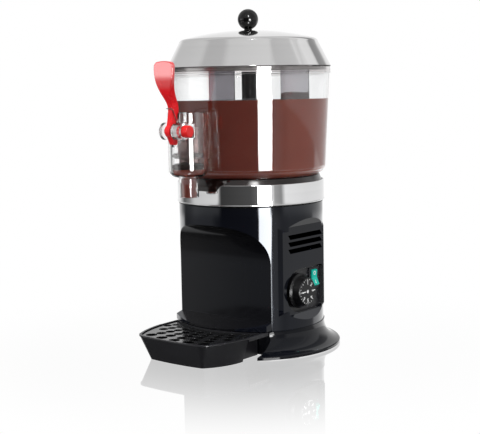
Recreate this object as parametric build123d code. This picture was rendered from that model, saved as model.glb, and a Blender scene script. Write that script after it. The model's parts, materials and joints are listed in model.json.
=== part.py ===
from build123d import *
import math
import os

# A counter-top hot chocolate dispenser, millimetres. The origin is on the machine's upright axis
# at counter level. +Z is up, -Y is the front with the tap and the tray, +X is the control side.

# Fits and sheet gauges used all over
SEAT_GAP = 0.3
LOOSE_GAP = 0.5
RUN_FIT = 0.05
MOULD_WALL = 3.0
SHEET = 1.5

# Feet, bottom plate and base flange
FOOT_H = 2.5
FOOT_R = 9.0
FOOT_MARGIN = 6.0
FOOT_ANGLES = (-22.0, 45.0, 135.0, 202.0)
FLANGE_REACH = 22.8
RIM_LIFT = 1.0
RIM_H = 4.5
RIM_BEVEL = 1.2
FLANGE_H = 35.0
FLANGE_SAG_R = 7.4
FLANGE_LEDGE = 1.2
SPIGOT_H = 6.0
SPIGOT_T = 2.5
BOSS_R = 5.0
BOSS_ANGLES = (0.0, 60.0, 120.0, 180.0)
SCREW_R = 2.0
SCREW_HEAD_R = 4.0
SCREW_HEAD_H = 1.6
SCREW_BITE = 12.0
PLATE_VENT_L = 34.0
PLATE_VENT_W = 5.0
PLATE_VENT_PITCH = 12.0
PLATE_VENT_COUNT = 5

# Body shell with its cup niche
BODY_R = 106.0
BODY_H = 177.8
NICHE_DEPTH = 41.4
COVE_R = 60.0
COVE_DROP = 24.8
LIP_REACH = 37.9
LIP_ARC_R = 150.0
LIP_T = 1.6
LIP_RISE = 9.4
LIP_LIFT = 1.2

# Control side: flat panel, louvres and pocket
PANEL_INSET = 8.0
PANEL_LEFT_W = 55.0
PANEL_RIGHT_W = 46.0
PANEL_FLARE = 1.0
PANEL_END = 6.0
PANEL_LOW = 20.0
PANEL_HIGH = 146.0
PANEL_SLOPE = 10.0
LOUVRE_LEFT = -42.0
LOUVRE_RIGHT = 37.0
LOUVRE_SLANT = 5.0
LOUVRE_H = 6.8
LOUVRE_PITCH = 10.0
LOUVRE_COUNT = 3
LOUVRE_LOW = 107.8
POCKET_R = 31.5
POCKET_RIGHT = 43.5
POCKET_CORNER_R = 6.0
POCKET_DEPTH = 6.0
POCKET_WALL = 2.5
CONTROL_T = 2.5
LEDGE_W = 2.0

# Thermostat and its dial knob
DIAL_Y = -16.0
DIAL_RISE = 52.5
KNOB_SKIRT_R = 25.0
KNOB_FACE_R = 19.6
KNOB_SKIRT_T = 5.0
KNOB_H = 19.0
KNOB_LIFT = 1.5
SPINDLE_R = 3.0
THERMOSTAT_W = 34.0
THERMOSTAT_D = 24.0

# Lit rocker switch
SWITCH_Y = 25.5
SWITCH_RISE = 64.5
BEZEL_W = 23.0
BEZEL_H = 31.5
BEZEL_T = 2.0
SWITCH_BODY_W = 20.0
SWITCH_BODY_D = 24.0
ROCKER_W = 13.0
ROCKER_R = 12.7
ROCKER_DIP = 4.3
ROCKER_END = 6.8
ROCKER_TILT = 10.0
ROCKER_SETBACK = 1.0

# Cable gland in the back of the body
GLAND_RISE = 26.0
GLAND_R = 7.0
GLAND_NUT_R = 10.0
GLAND_NUT_T = 5.0
GLAND_REACH = 9.0
GLAND_BORE_R = 4.0

# Water tank with the bright band, its heater and the shaft bush
BAND_PROUD = 1.9
BAND_H = 29.7
TANK_SIDE_GAP = 1.5
TANK_DEPTH = 20.5
TANK_TUBE_R = 6.0
TANK_TUBE_T = 1.0
TANK_TUBE_H = 46.0
NOTCH_HALF_W = 20.0
NOTCH_DEPTH = 9.0
HEATER_INSET = 20.0
HEATER_R = 4.0
HEATER_LIFT = 10.0
HEATER_GAP_DEG = 24.0
HEATER_LEG = 16.0
BUSH_H = 16.0
SEAL_DEPTH = 11.0
CUTOUT_R = 12.0
CUTOUT_H = 9.0
CUTOUT_ANGLE = 135.0
CUTOUT_GAP = 2.0

# Gearmotor hung under the tank
SHAFT_R = 3.5
STANDOFF_H = 12.0
STANDOFF_R = 4.0
STANDOFF_RING_R = 58.0
STANDOFF_ANGLES = (30.0, 150.0, 210.0, 330.0)
BRACKET_R = 66.0
BRACKET_T = 2.5
BRACKET_FRONT = 52.0
GEAR_CASE_W = 62.0
GEAR_CASE_L = 84.0
GEAR_CASE_H = 34.0
GEAR_CASE_SHIFT = 14.0
STACK_W = 58.0
STACK_T = 22.0
STACK_GAP_W = 30.0
STACK_GAP_H = 22.0
COIL_R = 15.0
COIL_CORE = 8.0
CAP_R = 9.0
CAP_T = 5.0
TERMINAL_W = 22.0
TERMINAL_L = 46.0
TERMINAL_H = 20.0
TERMINAL_X = 45.0
TERMINAL_Y = 45.0
TERMINAL_POLES = 4

# Clear bowl
BOWL_T = 3.5
SKIRT_GAP = 1.5
SKIRT_DROP = 30.0
SHOULDER_GAP = 8.5
SHOULDER_R = 13.0
SHOULDER_TUCK = 1.0
BOWL_FLARE = 7.0
BOWL_WALL_H = 145.0
RIM_BEAD_H = 10.0
RIM_BEAD_PROUD = 1.5
BOWL_TUBE_T = 2.0
BOWL_TUBE_H = 168.0

# Lid
LID_OVERHANG = 0.4
LID_BRIM_T = 1.0
LID_CONE_H = 34.6
LID_CONE_RUN = 18.0
LID_SHOULDER_RUN = 6.0
LID_SHOULDER_RISE = 5.4
LID_CROWN = 12.0
LID_COLLAR_DEPTH = 6.0
LID_COLLAR_T = 1.4
LID_COLLAR_GAP = 1.2
KNOB_DISC_R = 14.3
KNOB_DISC_T = 2.3
BALL_R = 15.0
BALL_SINK = 1.5
LID_SCREW_R = 2.5
LID_SCREW_HEAD_R = 5.0
LID_SCREW_HEAD_H = 3.0
LID_SCREW_L = 14.0

# Mixer
SLEEVE_T = 1.7
SLEEVE_CAP_T = 3.5
DOG_W = 4.6
DOG_H = 5.0
HUB_R = 17.0
HUB_H = 16.0
ARM_T = 7.0
ARM_H = 9.0
ARM_END_GAP = 6.0
BLADE_T = 3.0
BLADE_W = 44.0
INNER_BLADE_R = 25.0
OUTER_BLADE_R = 53.0
MIXER_ANGLE = 8.0
MIXER_FLOOR_GAP = 4.0

# Tap on the front of the bowl
TAP_OUT = 28.0
TAP_R = 27.4
TAP_BORE_R = 22.2
TAP_LOW = 5.0
TAP_H = 89.0
TAP_FLOOR_T = 5.0
TAP_BOTTOM_FILLET = 12.0
TAP_WEB_HALF_W = 18.0
SPOUT_R = 13.7
SPOUT_BORE_R = 10.7
SPOUT_L = 28.0
PORT_W = 12.0
PORT_H = 7.5
PORT_LIFT = 18.0
TAP_STUB_W = 26.0
TAP_STUB_H = 16.0
TAP_SLOT_HALF_W = 6.0
TAP_SLOT_LOW = 47.5
TAP_RELIEF_H = 5.0
TAP_RELIEF_T = 1.8

# Tap lever, its pin, lugs and spring
PIVOT_OUT = 34.2
PIVOT_RISE = 64.6
LUG_R = 11.8
LEFT_LUG_IN = 6.0
LEFT_LUG_OUT = 11.4
RIGHT_LUG_IN = 9.6
RIGHT_LUG_OUT = 24.5
PIN_R = 4.2
PIN_HEAD_R = 8.3
PIN_HEAD_L = 9.8
PIN_TAIL = 1.2
LEVER_HALF_W = 4.4
LEVER_HUB_R = 8.5
LEVER_ARM_R = 3.4
LEVER_TIP_R = 4.5
LEVER_ARM_L = 34.0
LEVER_SWING = 25.0
LEVER_FRONT_LINE = ((-5.6, 0.0), (-2.4, 18.0), (-1.4, 32.0), (-8.6, 48.5),
                    (-12.9, 64.0), (-13.7, 78.5), (-13.4, 94.0))
LEVER_REAR_LINE = ((7.6, 0.0), (10.4, 18.0), (12.2, 32.0), (3.4, 48.5),
                   (-5.6, 64.0), (-7.7, 78.5), (-6.4, 94.0))
LEVER_WIDTH_LINE = ((7.9, 48.5), (13.9, 64.0), (16.7, 78.5))
LEVER_NECK_TOP = 30.0
LEVER_TOP_HALF_W = 16.9
LEVER_CORNER_R = 7.0
LEVER_CROWN = 0.8
LEVER_EDGE_R = 1.4
TAIL_R = 3.6
TAIL_BACK = 4.2
TAIL_DOWN = 15.3
WIRE_R = 0.6
COIL_TURN_R = 6.2
COIL_PITCH = 1.7
COIL_TURNS = 2
SPRING_BIGHT_RISE = 30.5
SPRING_BEND_RISE = 13.0
SPRING_HOOK_L = 4.5
SPRING_TAIL_L = 13.0

# Piston and its two seals
PISTON_GAP = 2.0
PISTON_LAND_R = 19.5
PISTON_GROOVE_R = 17.0
PISTON_WAIST_R = 13.0
PISTON_STEM_R = 14.5
THIN_LAND_T = 1.2
LOWER_SEAL_T = 6.0
UPPER_SEAL_T = 4.5
STEM_TOP = 12.0
SEAL_LIP = 1.0

# Drip tray and its grid
TRAY_LIFT = 0.5
TRAY_H = 35.5
TRAY_FRONT = 190.0
TRAY_FRONT_BOW = 3.0
TRAY_FRONT_HALF_W = 60.0
TRAY_SIDE_HALF_W = 74.0
TRAY_HALF_W = 82.0
TRAY_SIDE_Y = 154.0
TRAY_FULL_Y = 105.0
TRAY_BACK_GAP = 5.4
TRAY_CORNER_R = 20.0
TRAY_DRAFT = 20.0
TRAY_T = 2.5
TRAY_STEP = 114.0
TONGUE_HALF_W = 62.0
TRAY_RIM_H = 5.5
TRAY_EDGE_H = 2.0
TRAY_ROUND = 1.2
TRAY_LIP_W = 3.0
TRAY_SIDE_GAP = 2.0
GRID_T = 2.0
GRID_DROP = 1.5
GRID_SHELF_W = 3.0
GRID_HOLE_SHARE = 0.045
GRID_STEP_DEG = 8.0
GRID_FIRST_R = 177.0
GRID_ROW_RATIO = 0.908
GRID_ROWS = 6
GRID_EDGE = 1.5

# Heights that follow from the stack
PLATE_Z = FOOT_H
RIM_TOP = RIM_LIFT + RIM_H
SEAM_Z = RIM_LIFT + FLANGE_H
BODY_TOP = SEAM_Z + BODY_H
BAND_TOP = BODY_TOP + BAND_H
TANK_FLOOR = BODY_TOP - TANK_DEPTH
SHOULDER_Z = BAND_TOP + SHOULDER_GAP
BOWL_FLOOR = SHOULDER_Z - SKIRT_DROP
BOWL_RIM = SHOULDER_Z + BOWL_WALL_H
BOWL_TOP = BOWL_RIM + RIM_BEAD_H
LID_Z = BOWL_TOP + SEAT_GAP
LID_SHOULDER_Z = LID_Z + LID_BRIM_T + LID_CONE_H
LID_TOP = LID_SHOULDER_Z + LID_SHOULDER_RISE + LID_CROWN
SHELL_IN_R = BODY_R - MOULD_WALL
FLANGE_TOP_R = BODY_R + FLANGE_LEDGE
BASE_R = FLANGE_TOP_R + FLANGE_REACH
FOOT_RING_R = BASE_R - MOULD_WALL - FOOT_MARGIN - FOOT_R
BAND_R = BODY_R + BAND_PROUD
TANK_CUP_R = SHELL_IN_R - TANK_SIDE_GAP
HEATER_RING_R = TANK_CUP_R - SHEET - HEATER_INSET - HEATER_R
SKIRT_R = TANK_CUP_R - SHEET - SKIRT_GAP
BOWL_LOW_R = SKIRT_R - SHOULDER_TUCK + SHOULDER_R
BOWL_HIGH_R = BOWL_LOW_R + BOWL_FLARE
RIM_BEAD_R = BOWL_HIGH_R + RIM_BEAD_PROUD
LID_RIM_R = RIM_BEAD_R + LID_OVERHANG
CUTOUT_OFFSET = BRACKET_R + CUTOUT_GAP + CUTOUT_R
NICHE_Y = NICHE_DEPTH - BODY_R
COVE_Z = BODY_TOP - COVE_DROP - COVE_R
TRAY_BACK = TRAY_BACK_GAP - NICHE_Y
SLOT_HALF_W = TRAY_HALF_W + TRAY_SIDE_GAP
SLOT_BACK = -(TRAY_BACK - TRAY_SIDE_GAP)
LIP_FRONT = NICHE_Y - LIP_REACH
LIP_Z = SEAM_Z + LIP_LIFT
PANEL_X = BODY_R - PANEL_INSET
PANEL_Z0 = SEAM_Z + PANEL_LOW
PANEL_Z1 = SEAM_Z + PANEL_HIGH
PLATE_X = PANEL_X - POCKET_DEPTH
DIAL_Z = SEAM_Z + DIAL_RISE
SWITCH_Z = SEAM_Z + SWITCH_RISE
TUBE_BORE_R = TANK_TUBE_R + LOOSE_GAP
TUBE_R = TUBE_BORE_R + BOWL_TUBE_T
SLEEVE_BORE_R = TUBE_R + LOOSE_GAP
SLEEVE_R = SLEEVE_BORE_R + SLEEVE_T
TUBE_TOP = BOWL_FLOOR + BOWL_TUBE_H
BRACKET_Z = TANK_FLOOR - STANDOFF_H
TAP_Y = -(BOWL_LOW_R + TAP_OUT)
TAP_Z = SHOULDER_Z + TAP_LOW
TAP_TOP = TAP_Z + TAP_H
PIVOT_Y = TAP_Y - PIVOT_OUT
PIVOT_Z = TAP_Z + PIVOT_RISE
PORT_Z = TAP_Z + TAP_FLOOR_T + PORT_LIFT
TIP_Y = PIVOT_Y + LEVER_ARM_L * math.cos(math.radians(LEVER_SWING / 2))
TIP_Z = PIVOT_Z - LEVER_ARM_L * math.sin(math.radians(LEVER_SWING / 2))
TRAY_TOP = TRAY_LIFT + TRAY_H
GRID_Z = TRAY_TOP - GRID_DROP - GRID_T

UP = (Align.CENTER, Align.CENTER, Align.MIN)


def at(x, y, z):
    return Location((x, y, z))


def rod(radius, z0, z1):
    return at(0, 0, z0) * Cylinder(radius, z1 - z0, align=UP)


def ring(outer, inner, z0, z1):
    return rod(outer, z0, z1) - rod(inner, z0 - 1, z1 + 1)


def block(x0, x1, y0, y1, z0, z1):
    centre = at((x0 + x1) / 2, (y0 + y1) / 2, (z0 + z1) / 2)
    return centre * Box(x1 - x0, y1 - y0, z1 - z0)


def x_rod(radius, x0, x1, y, z):
    centre = Location(((x0 + x1) / 2, y, z), (0, 90, 0))
    return centre * Cylinder(radius, x1 - x0)


def y_rod(radius, y0, y1, x, z):
    centre = Location((x, (y0 + y1) / 2, z), (90, 0, 0))
    return centre * Cylinder(radius, y1 - y0)


def turned(*edges):
    """Solid of revolution about Z from profile edges drawn as (radius, height)."""
    return revolve(Plane.XZ * make_face(list(edges)), Axis.Z, 360)


def turned_points(*points):
    return revolve(Plane.XZ * make_face(Polyline(*points, close=True).edges()), Axis.Z, 360)


def along_x(edges, x0, x1):
    """Prism along X from profile edges drawn as (y, z)."""
    return at(x0, 0, 0) * extrude(Plane.YZ * make_face(edges), amount=x1 - x0)


def along_y(edges, y0, y1):
    """Prism along Y from profile edges drawn as (x, z)."""
    return at(0, y1, 0) * extrude(Plane.XZ * make_face(edges), amount=y1 - y0)


def loop(*points):
    return Polyline(*points, close=True).edges()


def polar(radius, angle):
    turn = math.radians(angle)
    return radius * math.cos(turn), radius * math.sin(turn)


def flange_skin(inset):
    """Edges of the flange's trumpet curve, moved in by a wall."""
    low = (BASE_R - max(inset, RIM_BEVEL), RIM_TOP - inset / 2)
    high = (FLANGE_TOP_R - inset, SEAM_Z)
    chord_r = (low[0] + high[0]) / 2
    chord_z = (low[1] + high[1]) / 2
    waist = (chord_r - FLANGE_SAG_R * 0.81, chord_z - FLANGE_SAG_R * 0.59)
    return low, ThreePointArc(low, waist, high), high


def tray_slot(side, back, z0, z1):
    return block(-side, side, -2 * BASE_R, back, z0, z1)


def base_flange():
    low, curve, high = flange_skin(0)
    foot = (BASE_R, RIM_LIFT)
    rim = (BASE_R, RIM_TOP - RIM_BEVEL)
    full = turned(Line((0, RIM_LIFT), foot), Line(foot, rim), Line(rim, low), curve,
                  Line(high, (0, SEAM_Z)), Line((0, SEAM_Z), (0, RIM_LIFT)))
    low_in, curve_in, high_in = flange_skin(MOULD_WALL)
    foot_in = (BASE_R - MOULD_WALL, RIM_LIFT)
    hollow = turned(Line((0, RIM_LIFT), foot_in), Line(foot_in, low_in), curve_in,
                    Line(high_in, (0, SEAM_Z)), Line((0, SEAM_Z), (0, RIM_LIFT)))
    spigot_r = SHELL_IN_R - SEAT_GAP
    shelf = ring(FLANGE_TOP_R - MOULD_WALL / 2, spigot_r - SPIGOT_T, SEAM_Z - MOULD_WALL, SEAM_Z)
    collar = ring(spigot_r, spigot_r - SPIGOT_T, SEAM_Z - MOULD_WALL, SEAM_Z + SPIGOT_H)
    collar -= block(-BODY_R, BODY_R, -BODY_R, NICHE_Y + MOULD_WALL + SEAT_GAP, SEAM_Z, BODY_TOP)
    flange = full - hollow + shelf + collar
    for angle in BOSS_ANGLES:
        x, y = polar(boss_ring_r(), angle)
        flange += at(x, y, 0) * rod(BOSS_R, plate_top(), SEAM_Z - MOULD_WALL / 2)
    outside = SLOT_HALF_W + MOULD_WALL
    walls = full & tray_slot(outside, SLOT_BACK + MOULD_WALL, 0, SEAM_Z)
    flange -= tray_slot(outside, SLOT_BACK + MOULD_WALL, 0, SEAM_Z + SPIGOT_H + 1)
    flange += walls - tray_slot(SLOT_HALF_W, SLOT_BACK, 0, SEAM_Z + 1)
    for angle in BOSS_ANGLES:
        x, y = polar(boss_ring_r(), angle)
        flange -= at(x, y, 0) * rod(SCREW_R, 0, plate_top() + SCREW_BITE)
    return flange


def boss_ring_r():
    return SHELL_IN_R - SEAT_GAP - SPIGOT_T


def plate_top():
    return PLATE_Z + SHEET


def bottom_plate():
    plate = rod(BASE_R - MOULD_WALL - SEAT_GAP, PLATE_Z, plate_top())
    plate -= tray_slot(SLOT_HALF_W + MOULD_WALL + SEAT_GAP, SLOT_BACK + MOULD_WALL + SEAT_GAP, 0, SEAM_Z)
    for angle in BOSS_ANGLES:
        x, y = polar(boss_ring_r(), angle)
        plate -= at(x, y, 0) * rod(SCREW_R, 0, SEAM_Z)
    for i in range(PLATE_VENT_COUNT):
        x = (i - (PLATE_VENT_COUNT - 1) / 2) * PLATE_VENT_PITCH
        vent = extrude(SlotOverall(PLATE_VENT_L, PLATE_VENT_W, rotation=90), amount=SEAM_Z)
        plate -= at(x - TERMINAL_X, TERMINAL_Y, 0) * vent
    return plate


def feet():
    pads = []
    for angle in FOOT_ANGLES:
        x, y = polar(FOOT_RING_R, angle)
        pad = rod(FOOT_R, 0, FOOT_H)
        pad = chamfer(pad.edges().sort_by(Axis.Z)[0], FOOT_H / 4)
        pads.append(at(x, y, 0) * pad)
    return Compound(pads)


def base_screws():
    screws = []
    for angle in BOSS_ANGLES:
        x, y = polar(boss_ring_r(), angle)
        head = rod(SCREW_HEAD_R, PLATE_Z - SCREW_HEAD_H, PLATE_Z)
        screws.append(at(x, y, 0) * (head + rod(SCREW_R, PLATE_Z, plate_top() + SCREW_BITE)))
    return Compound(screws)


def niche_cut(skin):
    """Space of the cup niche, its back and cove moved inwards by a skin."""
    wall = NICHE_Y + skin
    radius = COVE_R + skin
    low = (wall, SEAM_Z - 1)
    spring = (wall, COVE_Z)
    crown = (wall - radius, COVE_Z + radius)
    lean = radius * math.sqrt(0.5)
    cove = ThreePointArc(spring, (wall - radius + lean, COVE_Z + lean), crown)
    front = -2 * BODY_R
    edges = [Line(low, spring), cove, Line(crown, (front, crown[1])),
             Line((front, crown[1]), (front, low[1])), Line((front, low[1]), low)]
    return along_x(edges, -BODY_R, BODY_R)


def niche_lip():
    """Ledge at the foot of the niche, over the back of the tray."""
    section = loop((NICHE_Y + MOULD_WALL, LIP_Z), (NICHE_Y + MOULD_WALL, LIP_Z + LIP_T + LIP_RISE),
                   (NICHE_Y, LIP_Z + LIP_T + LIP_RISE), (LIP_FRONT, LIP_Z + LIP_T), (LIP_FRONT, LIP_Z))
    sweep = at(0, LIP_FRONT + LIP_ARC_R, 0) * rod(LIP_ARC_R, 0, BODY_TOP)
    return along_x(section, -SLOT_HALF_W, SLOT_HALF_W) & sweep


def panel_cut(skin):
    """Space in front of the flat control panel, with sloped ends, moved inwards by a skin."""
    face = PANEL_X - skin
    run = 2 * PANEL_INSET
    climb = run * PANEL_SLOPE / PANEL_INSET
    edges = loop((face, PANEL_Z0 - skin / 2), (face, PANEL_Z1 + skin / 2),
                 (face + run, PANEL_Z1 + climb + skin / 2), (face + run, PANEL_Z0 - climb - skin / 2))
    return along_y(edges, -BODY_R, BODY_R)


def panel_cheek(width):
    """Raised edge where the flat panel stands proud of the round body, on its +Y side."""
    flare = width + PANEL_FLARE
    root = math.sqrt(BODY_R ** 2 - flare ** 2) - 0.5
    inner = math.sqrt(BODY_R ** 2 - PANEL_X ** 2) - PANEL_END
    plan = make_face(loop((PANEL_X, inner), (PANEL_X, width), (root, flare), (root, inner)))
    cheek = at(0, 0, PANEL_Z0) * extrude(plan, amount=PANEL_Z1 - PANEL_Z0)
    ends = loop((root, PANEL_Z0), (PANEL_X, PANEL_Z0 + PANEL_END),
                (PANEL_X, PANEL_Z1 - PANEL_END), (root, PANEL_Z1))
    return cheek & along_y(ends, 0, BODY_R)


def pocket_face(grow):
    """Outline of the control pocket, round at the dial end, grown or shrunk evenly."""
    radius = POCKET_R + grow
    right = POCKET_RIGHT + grow
    low = DIAL_Z - radius
    high = DIAL_Z + radius
    left_arc = ThreePointArc((DIAL_Y, high), (DIAL_Y - radius, DIAL_Z), (DIAL_Y, low))
    edges = [left_arc, Line((DIAL_Y, low), (right, low)), Line((right, low), (right, high)),
             Line((right, high), (DIAL_Y, high))]
    face = Plane.YZ * make_face(edges)
    corners = face.vertices().sort_by(Axis.Y)[-2:]
    return fillet(corners, POCKET_CORNER_R + grow)


def pocket_prism(grow, x0, x1):
    return at(x0, 0, 0) * extrude(pocket_face(grow), amount=x1 - x0)


def louvre(low):
    outline = loop((LOUVRE_LEFT + LOUVRE_SLANT, low), (LOUVRE_RIGHT + LOUVRE_SLANT, low),
                   (LOUVRE_RIGHT, low + LOUVRE_H), (LOUVRE_LEFT, low + LOUVRE_H))
    return along_x(outline, PLATE_X - 2 * MOULD_WALL, BODY_R)


def body_shell():
    outside = rod(BODY_R, SEAM_Z, BODY_TOP) - niche_cut(0) - panel_cut(0)
    outside += panel_cheek(PANEL_RIGHT_W)
    outside += mirror(panel_cheek(PANEL_LEFT_W), Plane.XZ)
    hollow = rod(SHELL_IN_R, SEAM_Z - 1, BODY_TOP + 1) - niche_cut(MOULD_WALL)
    hollow -= panel_cut(MOULD_WALL)
    shell = outside - hollow
    back = PLATE_X - CONTROL_T - LEDGE_W
    shell += pocket_prism(POCKET_WALL, back, PANEL_X) & outside
    shell -= pocket_prism(0, PLATE_X - CONTROL_T, BODY_R)
    shell -= pocket_prism(-LEDGE_W, back - 1, BODY_R)
    for i in range(LOUVRE_COUNT):
        shell -= louvre(SEAM_Z + LOUVRE_LOW + i * LOUVRE_PITCH)
    shell -= y_rod(GLAND_R, 0, BODY_R + 1, 0, SEAM_Z + GLAND_RISE)
    return shell + niche_lip()


def control_plate():
    plate = pocket_prism(-SEAT_GAP / 2, PLATE_X - CONTROL_T, PLATE_X)
    plate -= x_rod(SPINDLE_R + LOOSE_GAP, 0, BODY_R, DIAL_Y, DIAL_Z)
    half_w = SWITCH_BODY_W / 2
    half_h = ROCKER_R + 2 * SHEET
    window = block(0, BODY_R, SWITCH_Y - half_w, SWITCH_Y + half_w, SWITCH_Z - half_h, SWITCH_Z + half_h)
    return plate - window


def thermostat_body():
    front = PLATE_X - CONTROL_T
    half = THERMOSTAT_W / 2
    body = block(front - THERMOSTAT_D, front, DIAL_Y - half, DIAL_Y + half, DIAL_Z - half, DIAL_Z + half)
    body = fillet(body.edges().filter_by(Axis.X), THERMOSTAT_W / 8)
    return body - x_rod(SPINDLE_R + RUN_FIT, front - THERMOSTAT_D / 2, front + 1, DIAL_Y, DIAL_Z)


def thermostat_spindle():
    start = PLATE_X - CONTROL_T - THERMOSTAT_D / 2 + SEAT_GAP
    return x_rod(SPINDLE_R, start, PLATE_X + KNOB_LIFT + KNOB_H / 2, DIAL_Y, DIAL_Z)


def thermostat_knob():
    taper = KNOB_SKIRT_R - KNOB_FACE_R
    crown = KNOB_H - taper / 4
    profile = turned_points((0, 0), (KNOB_SKIRT_R, 0), (KNOB_SKIRT_R, KNOB_SKIRT_T),
                            (KNOB_SKIRT_R - taper / 2, KNOB_SKIRT_T + taper / 2),
                            (KNOB_FACE_R, crown), (KNOB_FACE_R - taper / 4, KNOB_H), (0, KNOB_H))
    hole = rod(SPINDLE_R, -1, KNOB_H / 2)
    place = Location((PLATE_X + KNOB_LIFT, DIAL_Y, DIAL_Z), (0, 90, 0))
    return place * (profile - hole)


def switch_body():
    half_h = ROCKER_R + 2 * SHEET
    bezel = block(PLATE_X, PLATE_X + BEZEL_T, SWITCH_Y - BEZEL_W / 2, SWITCH_Y + BEZEL_W / 2,
                  SWITCH_Z - BEZEL_H / 2, SWITCH_Z + BEZEL_H / 2)
    bezel = fillet(bezel.edges().filter_by(Axis.X), BEZEL_T)
    body = block(PLATE_X - SWITCH_BODY_D, PLATE_X, SWITCH_Y - SWITCH_BODY_W / 2, SWITCH_Y + SWITCH_BODY_W / 2,
                 SWITCH_Z - half_h, SWITCH_Z + half_h)
    well_w = ROCKER_W / 2 + SEAT_GAP
    well_h = ROCKER_R + SEAT_GAP
    well = block(PLATE_X - ROCKER_SETBACK - well_h, BODY_R, SWITCH_Y - well_w, SWITCH_Y + well_w,
                 SWITCH_Z - well_h, SWITCH_Z + well_h)
    return bezel + body - well


def switch_rocker():
    """Rocker with two slanting faces, its top half pressed in."""
    half_end = math.sqrt(ROCKER_R ** 2 - ROCKER_END ** 2)
    ends = [(ROCKER_END, half_end), (ROCKER_END, -half_end)]
    back = ThreePointArc(ends[1], (-ROCKER_R, 0), ends[0])
    face = make_face([Line(ends[0], (ROCKER_DIP, 0)), Line((ROCKER_DIP, 0), ends[1]), back])
    rocker = extrude(Plane.XZ * face, amount=ROCKER_W / 2, both=True)
    return Location((PLATE_X - ROCKER_SETBACK, SWITCH_Y, SWITCH_Z), (0, -ROCKER_TILT, 0)) * rocker


def cable_gland():
    z = SEAM_Z + GLAND_RISE
    wall = math.sqrt(BODY_R ** 2 - GLAND_NUT_R ** 2)
    inside = wall - MOULD_WALL - GLAND_NUT_T
    gland = y_rod(GLAND_R, inside, BODY_R + GLAND_REACH, 0, z)
    gland = chamfer(gland.edges().sort_by(Axis.Y)[-1], GLAND_R / 4)
    hexagon = extrude(Plane.XZ * RegularPolygon(GLAND_NUT_R, 6), amount=-GLAND_NUT_T)
    gland += at(0, BODY_R, z) * hexagon
    return gland - y_rod(GLAND_BORE_R, 0, 2 * BODY_R, 0, z)


def water_tank():
    """Drawn steel tank: bright outer band and deep cup with a hole for the shaft's tube."""
    cup_in = TANK_CUP_R - SHEET
    tank = turned_points((BAND_R, BODY_TOP), (BAND_R, BAND_TOP), (BAND_R - SHEET, BAND_TOP),
                         (BAND_R - SHEET, BODY_TOP + SHEET), (cup_in, BODY_TOP + SHEET),
                         (cup_in, TANK_FLOOR + SHEET), (TANK_TUBE_R, TANK_FLOOR + SHEET),
                         (TANK_TUBE_R, TANK_FLOOR), (TANK_CUP_R, TANK_FLOOR), (TANK_CUP_R, BODY_TOP))
    low = BAND_TOP - NOTCH_DEPTH
    high = BAND_TOP + 1
    wide = NOTCH_HALF_W + high - low
    notch = loop((-NOTCH_HALF_W, low), (NOTCH_HALF_W, low), (wide, high), (-wide, high))
    tank -= along_y(notch, -2 * BAND_R, -TANK_CUP_R / 2)
    for angle in heater_ends():
        x, y = polar(HEATER_RING_R, angle)
        tank -= at(x, y, 0) * rod(HEATER_R, 0, BODY_TOP)
    return tank


def tank_tube():
    """Steel tube brazed into the tank's floor, higher than the water, for the drive shaft."""
    return ring(TANK_TUBE_R, tank_tube_bore_r(), TANK_FLOOR, TANK_FLOOR + TANK_TUBE_H)


def tank_tube_bore_r():
    return TANK_TUBE_R - TANK_TUBE_T


def heater_ends():
    return 90 + HEATER_GAP_DEG / 2, 90 - HEATER_GAP_DEG / 2


def heating_element():
    z = TANK_FLOOR + SHEET + HEATER_LIFT
    start, end = heater_ends()
    arc = CenterArc((0, 0, z), HEATER_RING_R, start, 360 - HEATER_GAP_DEG)
    section = Plane(arc @ 0, z_dir=arc % 0) * Circle(HEATER_R)
    element = sweep(section, path=arc)
    for angle in (start, end):
        x, y = polar(HEATER_RING_R, angle)
        element += at(x, y, 0) * rod(HEATER_R, TANK_FLOOR - HEATER_LEG, z)
        element += at(x, y, z) * Sphere(HEATER_R)
    return element


def shaft_bush():
    top = TANK_FLOOR + TANK_TUBE_H
    return ring(tank_tube_bore_r(), SHAFT_R + RUN_FIT, top - BUSH_H, top)


def bowl_seal():
    """Rubber ring in the mouth of the band, under the bowl's shoulder."""
    inner = SKIRT_R + LOOSE_GAP
    outer = BAND_R - SHEET
    low = BAND_TOP - SEAL_DEPTH
    high = SHOULDER_Z - SEAT_GAP
    return turned_points((inner, low), (outer, low), (outer, BAND_TOP), (outer + SHEET / 2, BAND_TOP),
                         (outer + SHEET / 2, BAND_TOP + SHEET), (outer - SHEET, BAND_TOP + SHEET),
                         (inner + SHEET, high), (inner, high))


def safety_cutout():
    can = rod(CUTOUT_R, TANK_FLOOR - CUTOUT_H, TANK_FLOOR)
    can = chamfer(can.edges().sort_by(Axis.Z)[0], CUTOUT_H / 4)
    tabs = [block(s - 1, s + 1, -3, 3, TANK_FLOOR - CUTOUT_H - 7, TANK_FLOOR - CUTOUT_H) for s in (-6, 6)]
    x, y = polar(CUTOUT_OFFSET, CUTOUT_ANGLE)
    return at(x, y, 0) * (can + tabs[0] + tabs[1])


def bracket_standoffs():
    posts = []
    for angle in STANDOFF_ANGLES:
        x, y = polar(STANDOFF_RING_R, angle)
        posts.append(at(x, y, 0) * rod(STANDOFF_R, BRACKET_Z, TANK_FLOOR))
    return Compound(posts)


def motor_bracket():
    plate = rod(BRACKET_R, BRACKET_Z - BRACKET_T, BRACKET_Z)
    plate -= block(-BRACKET_R, BRACKET_R, -2 * BRACKET_R, -BRACKET_FRONT, 0, BODY_TOP)
    return plate - rod(SHAFT_R + LOOSE_GAP, 0, BODY_TOP)


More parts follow.
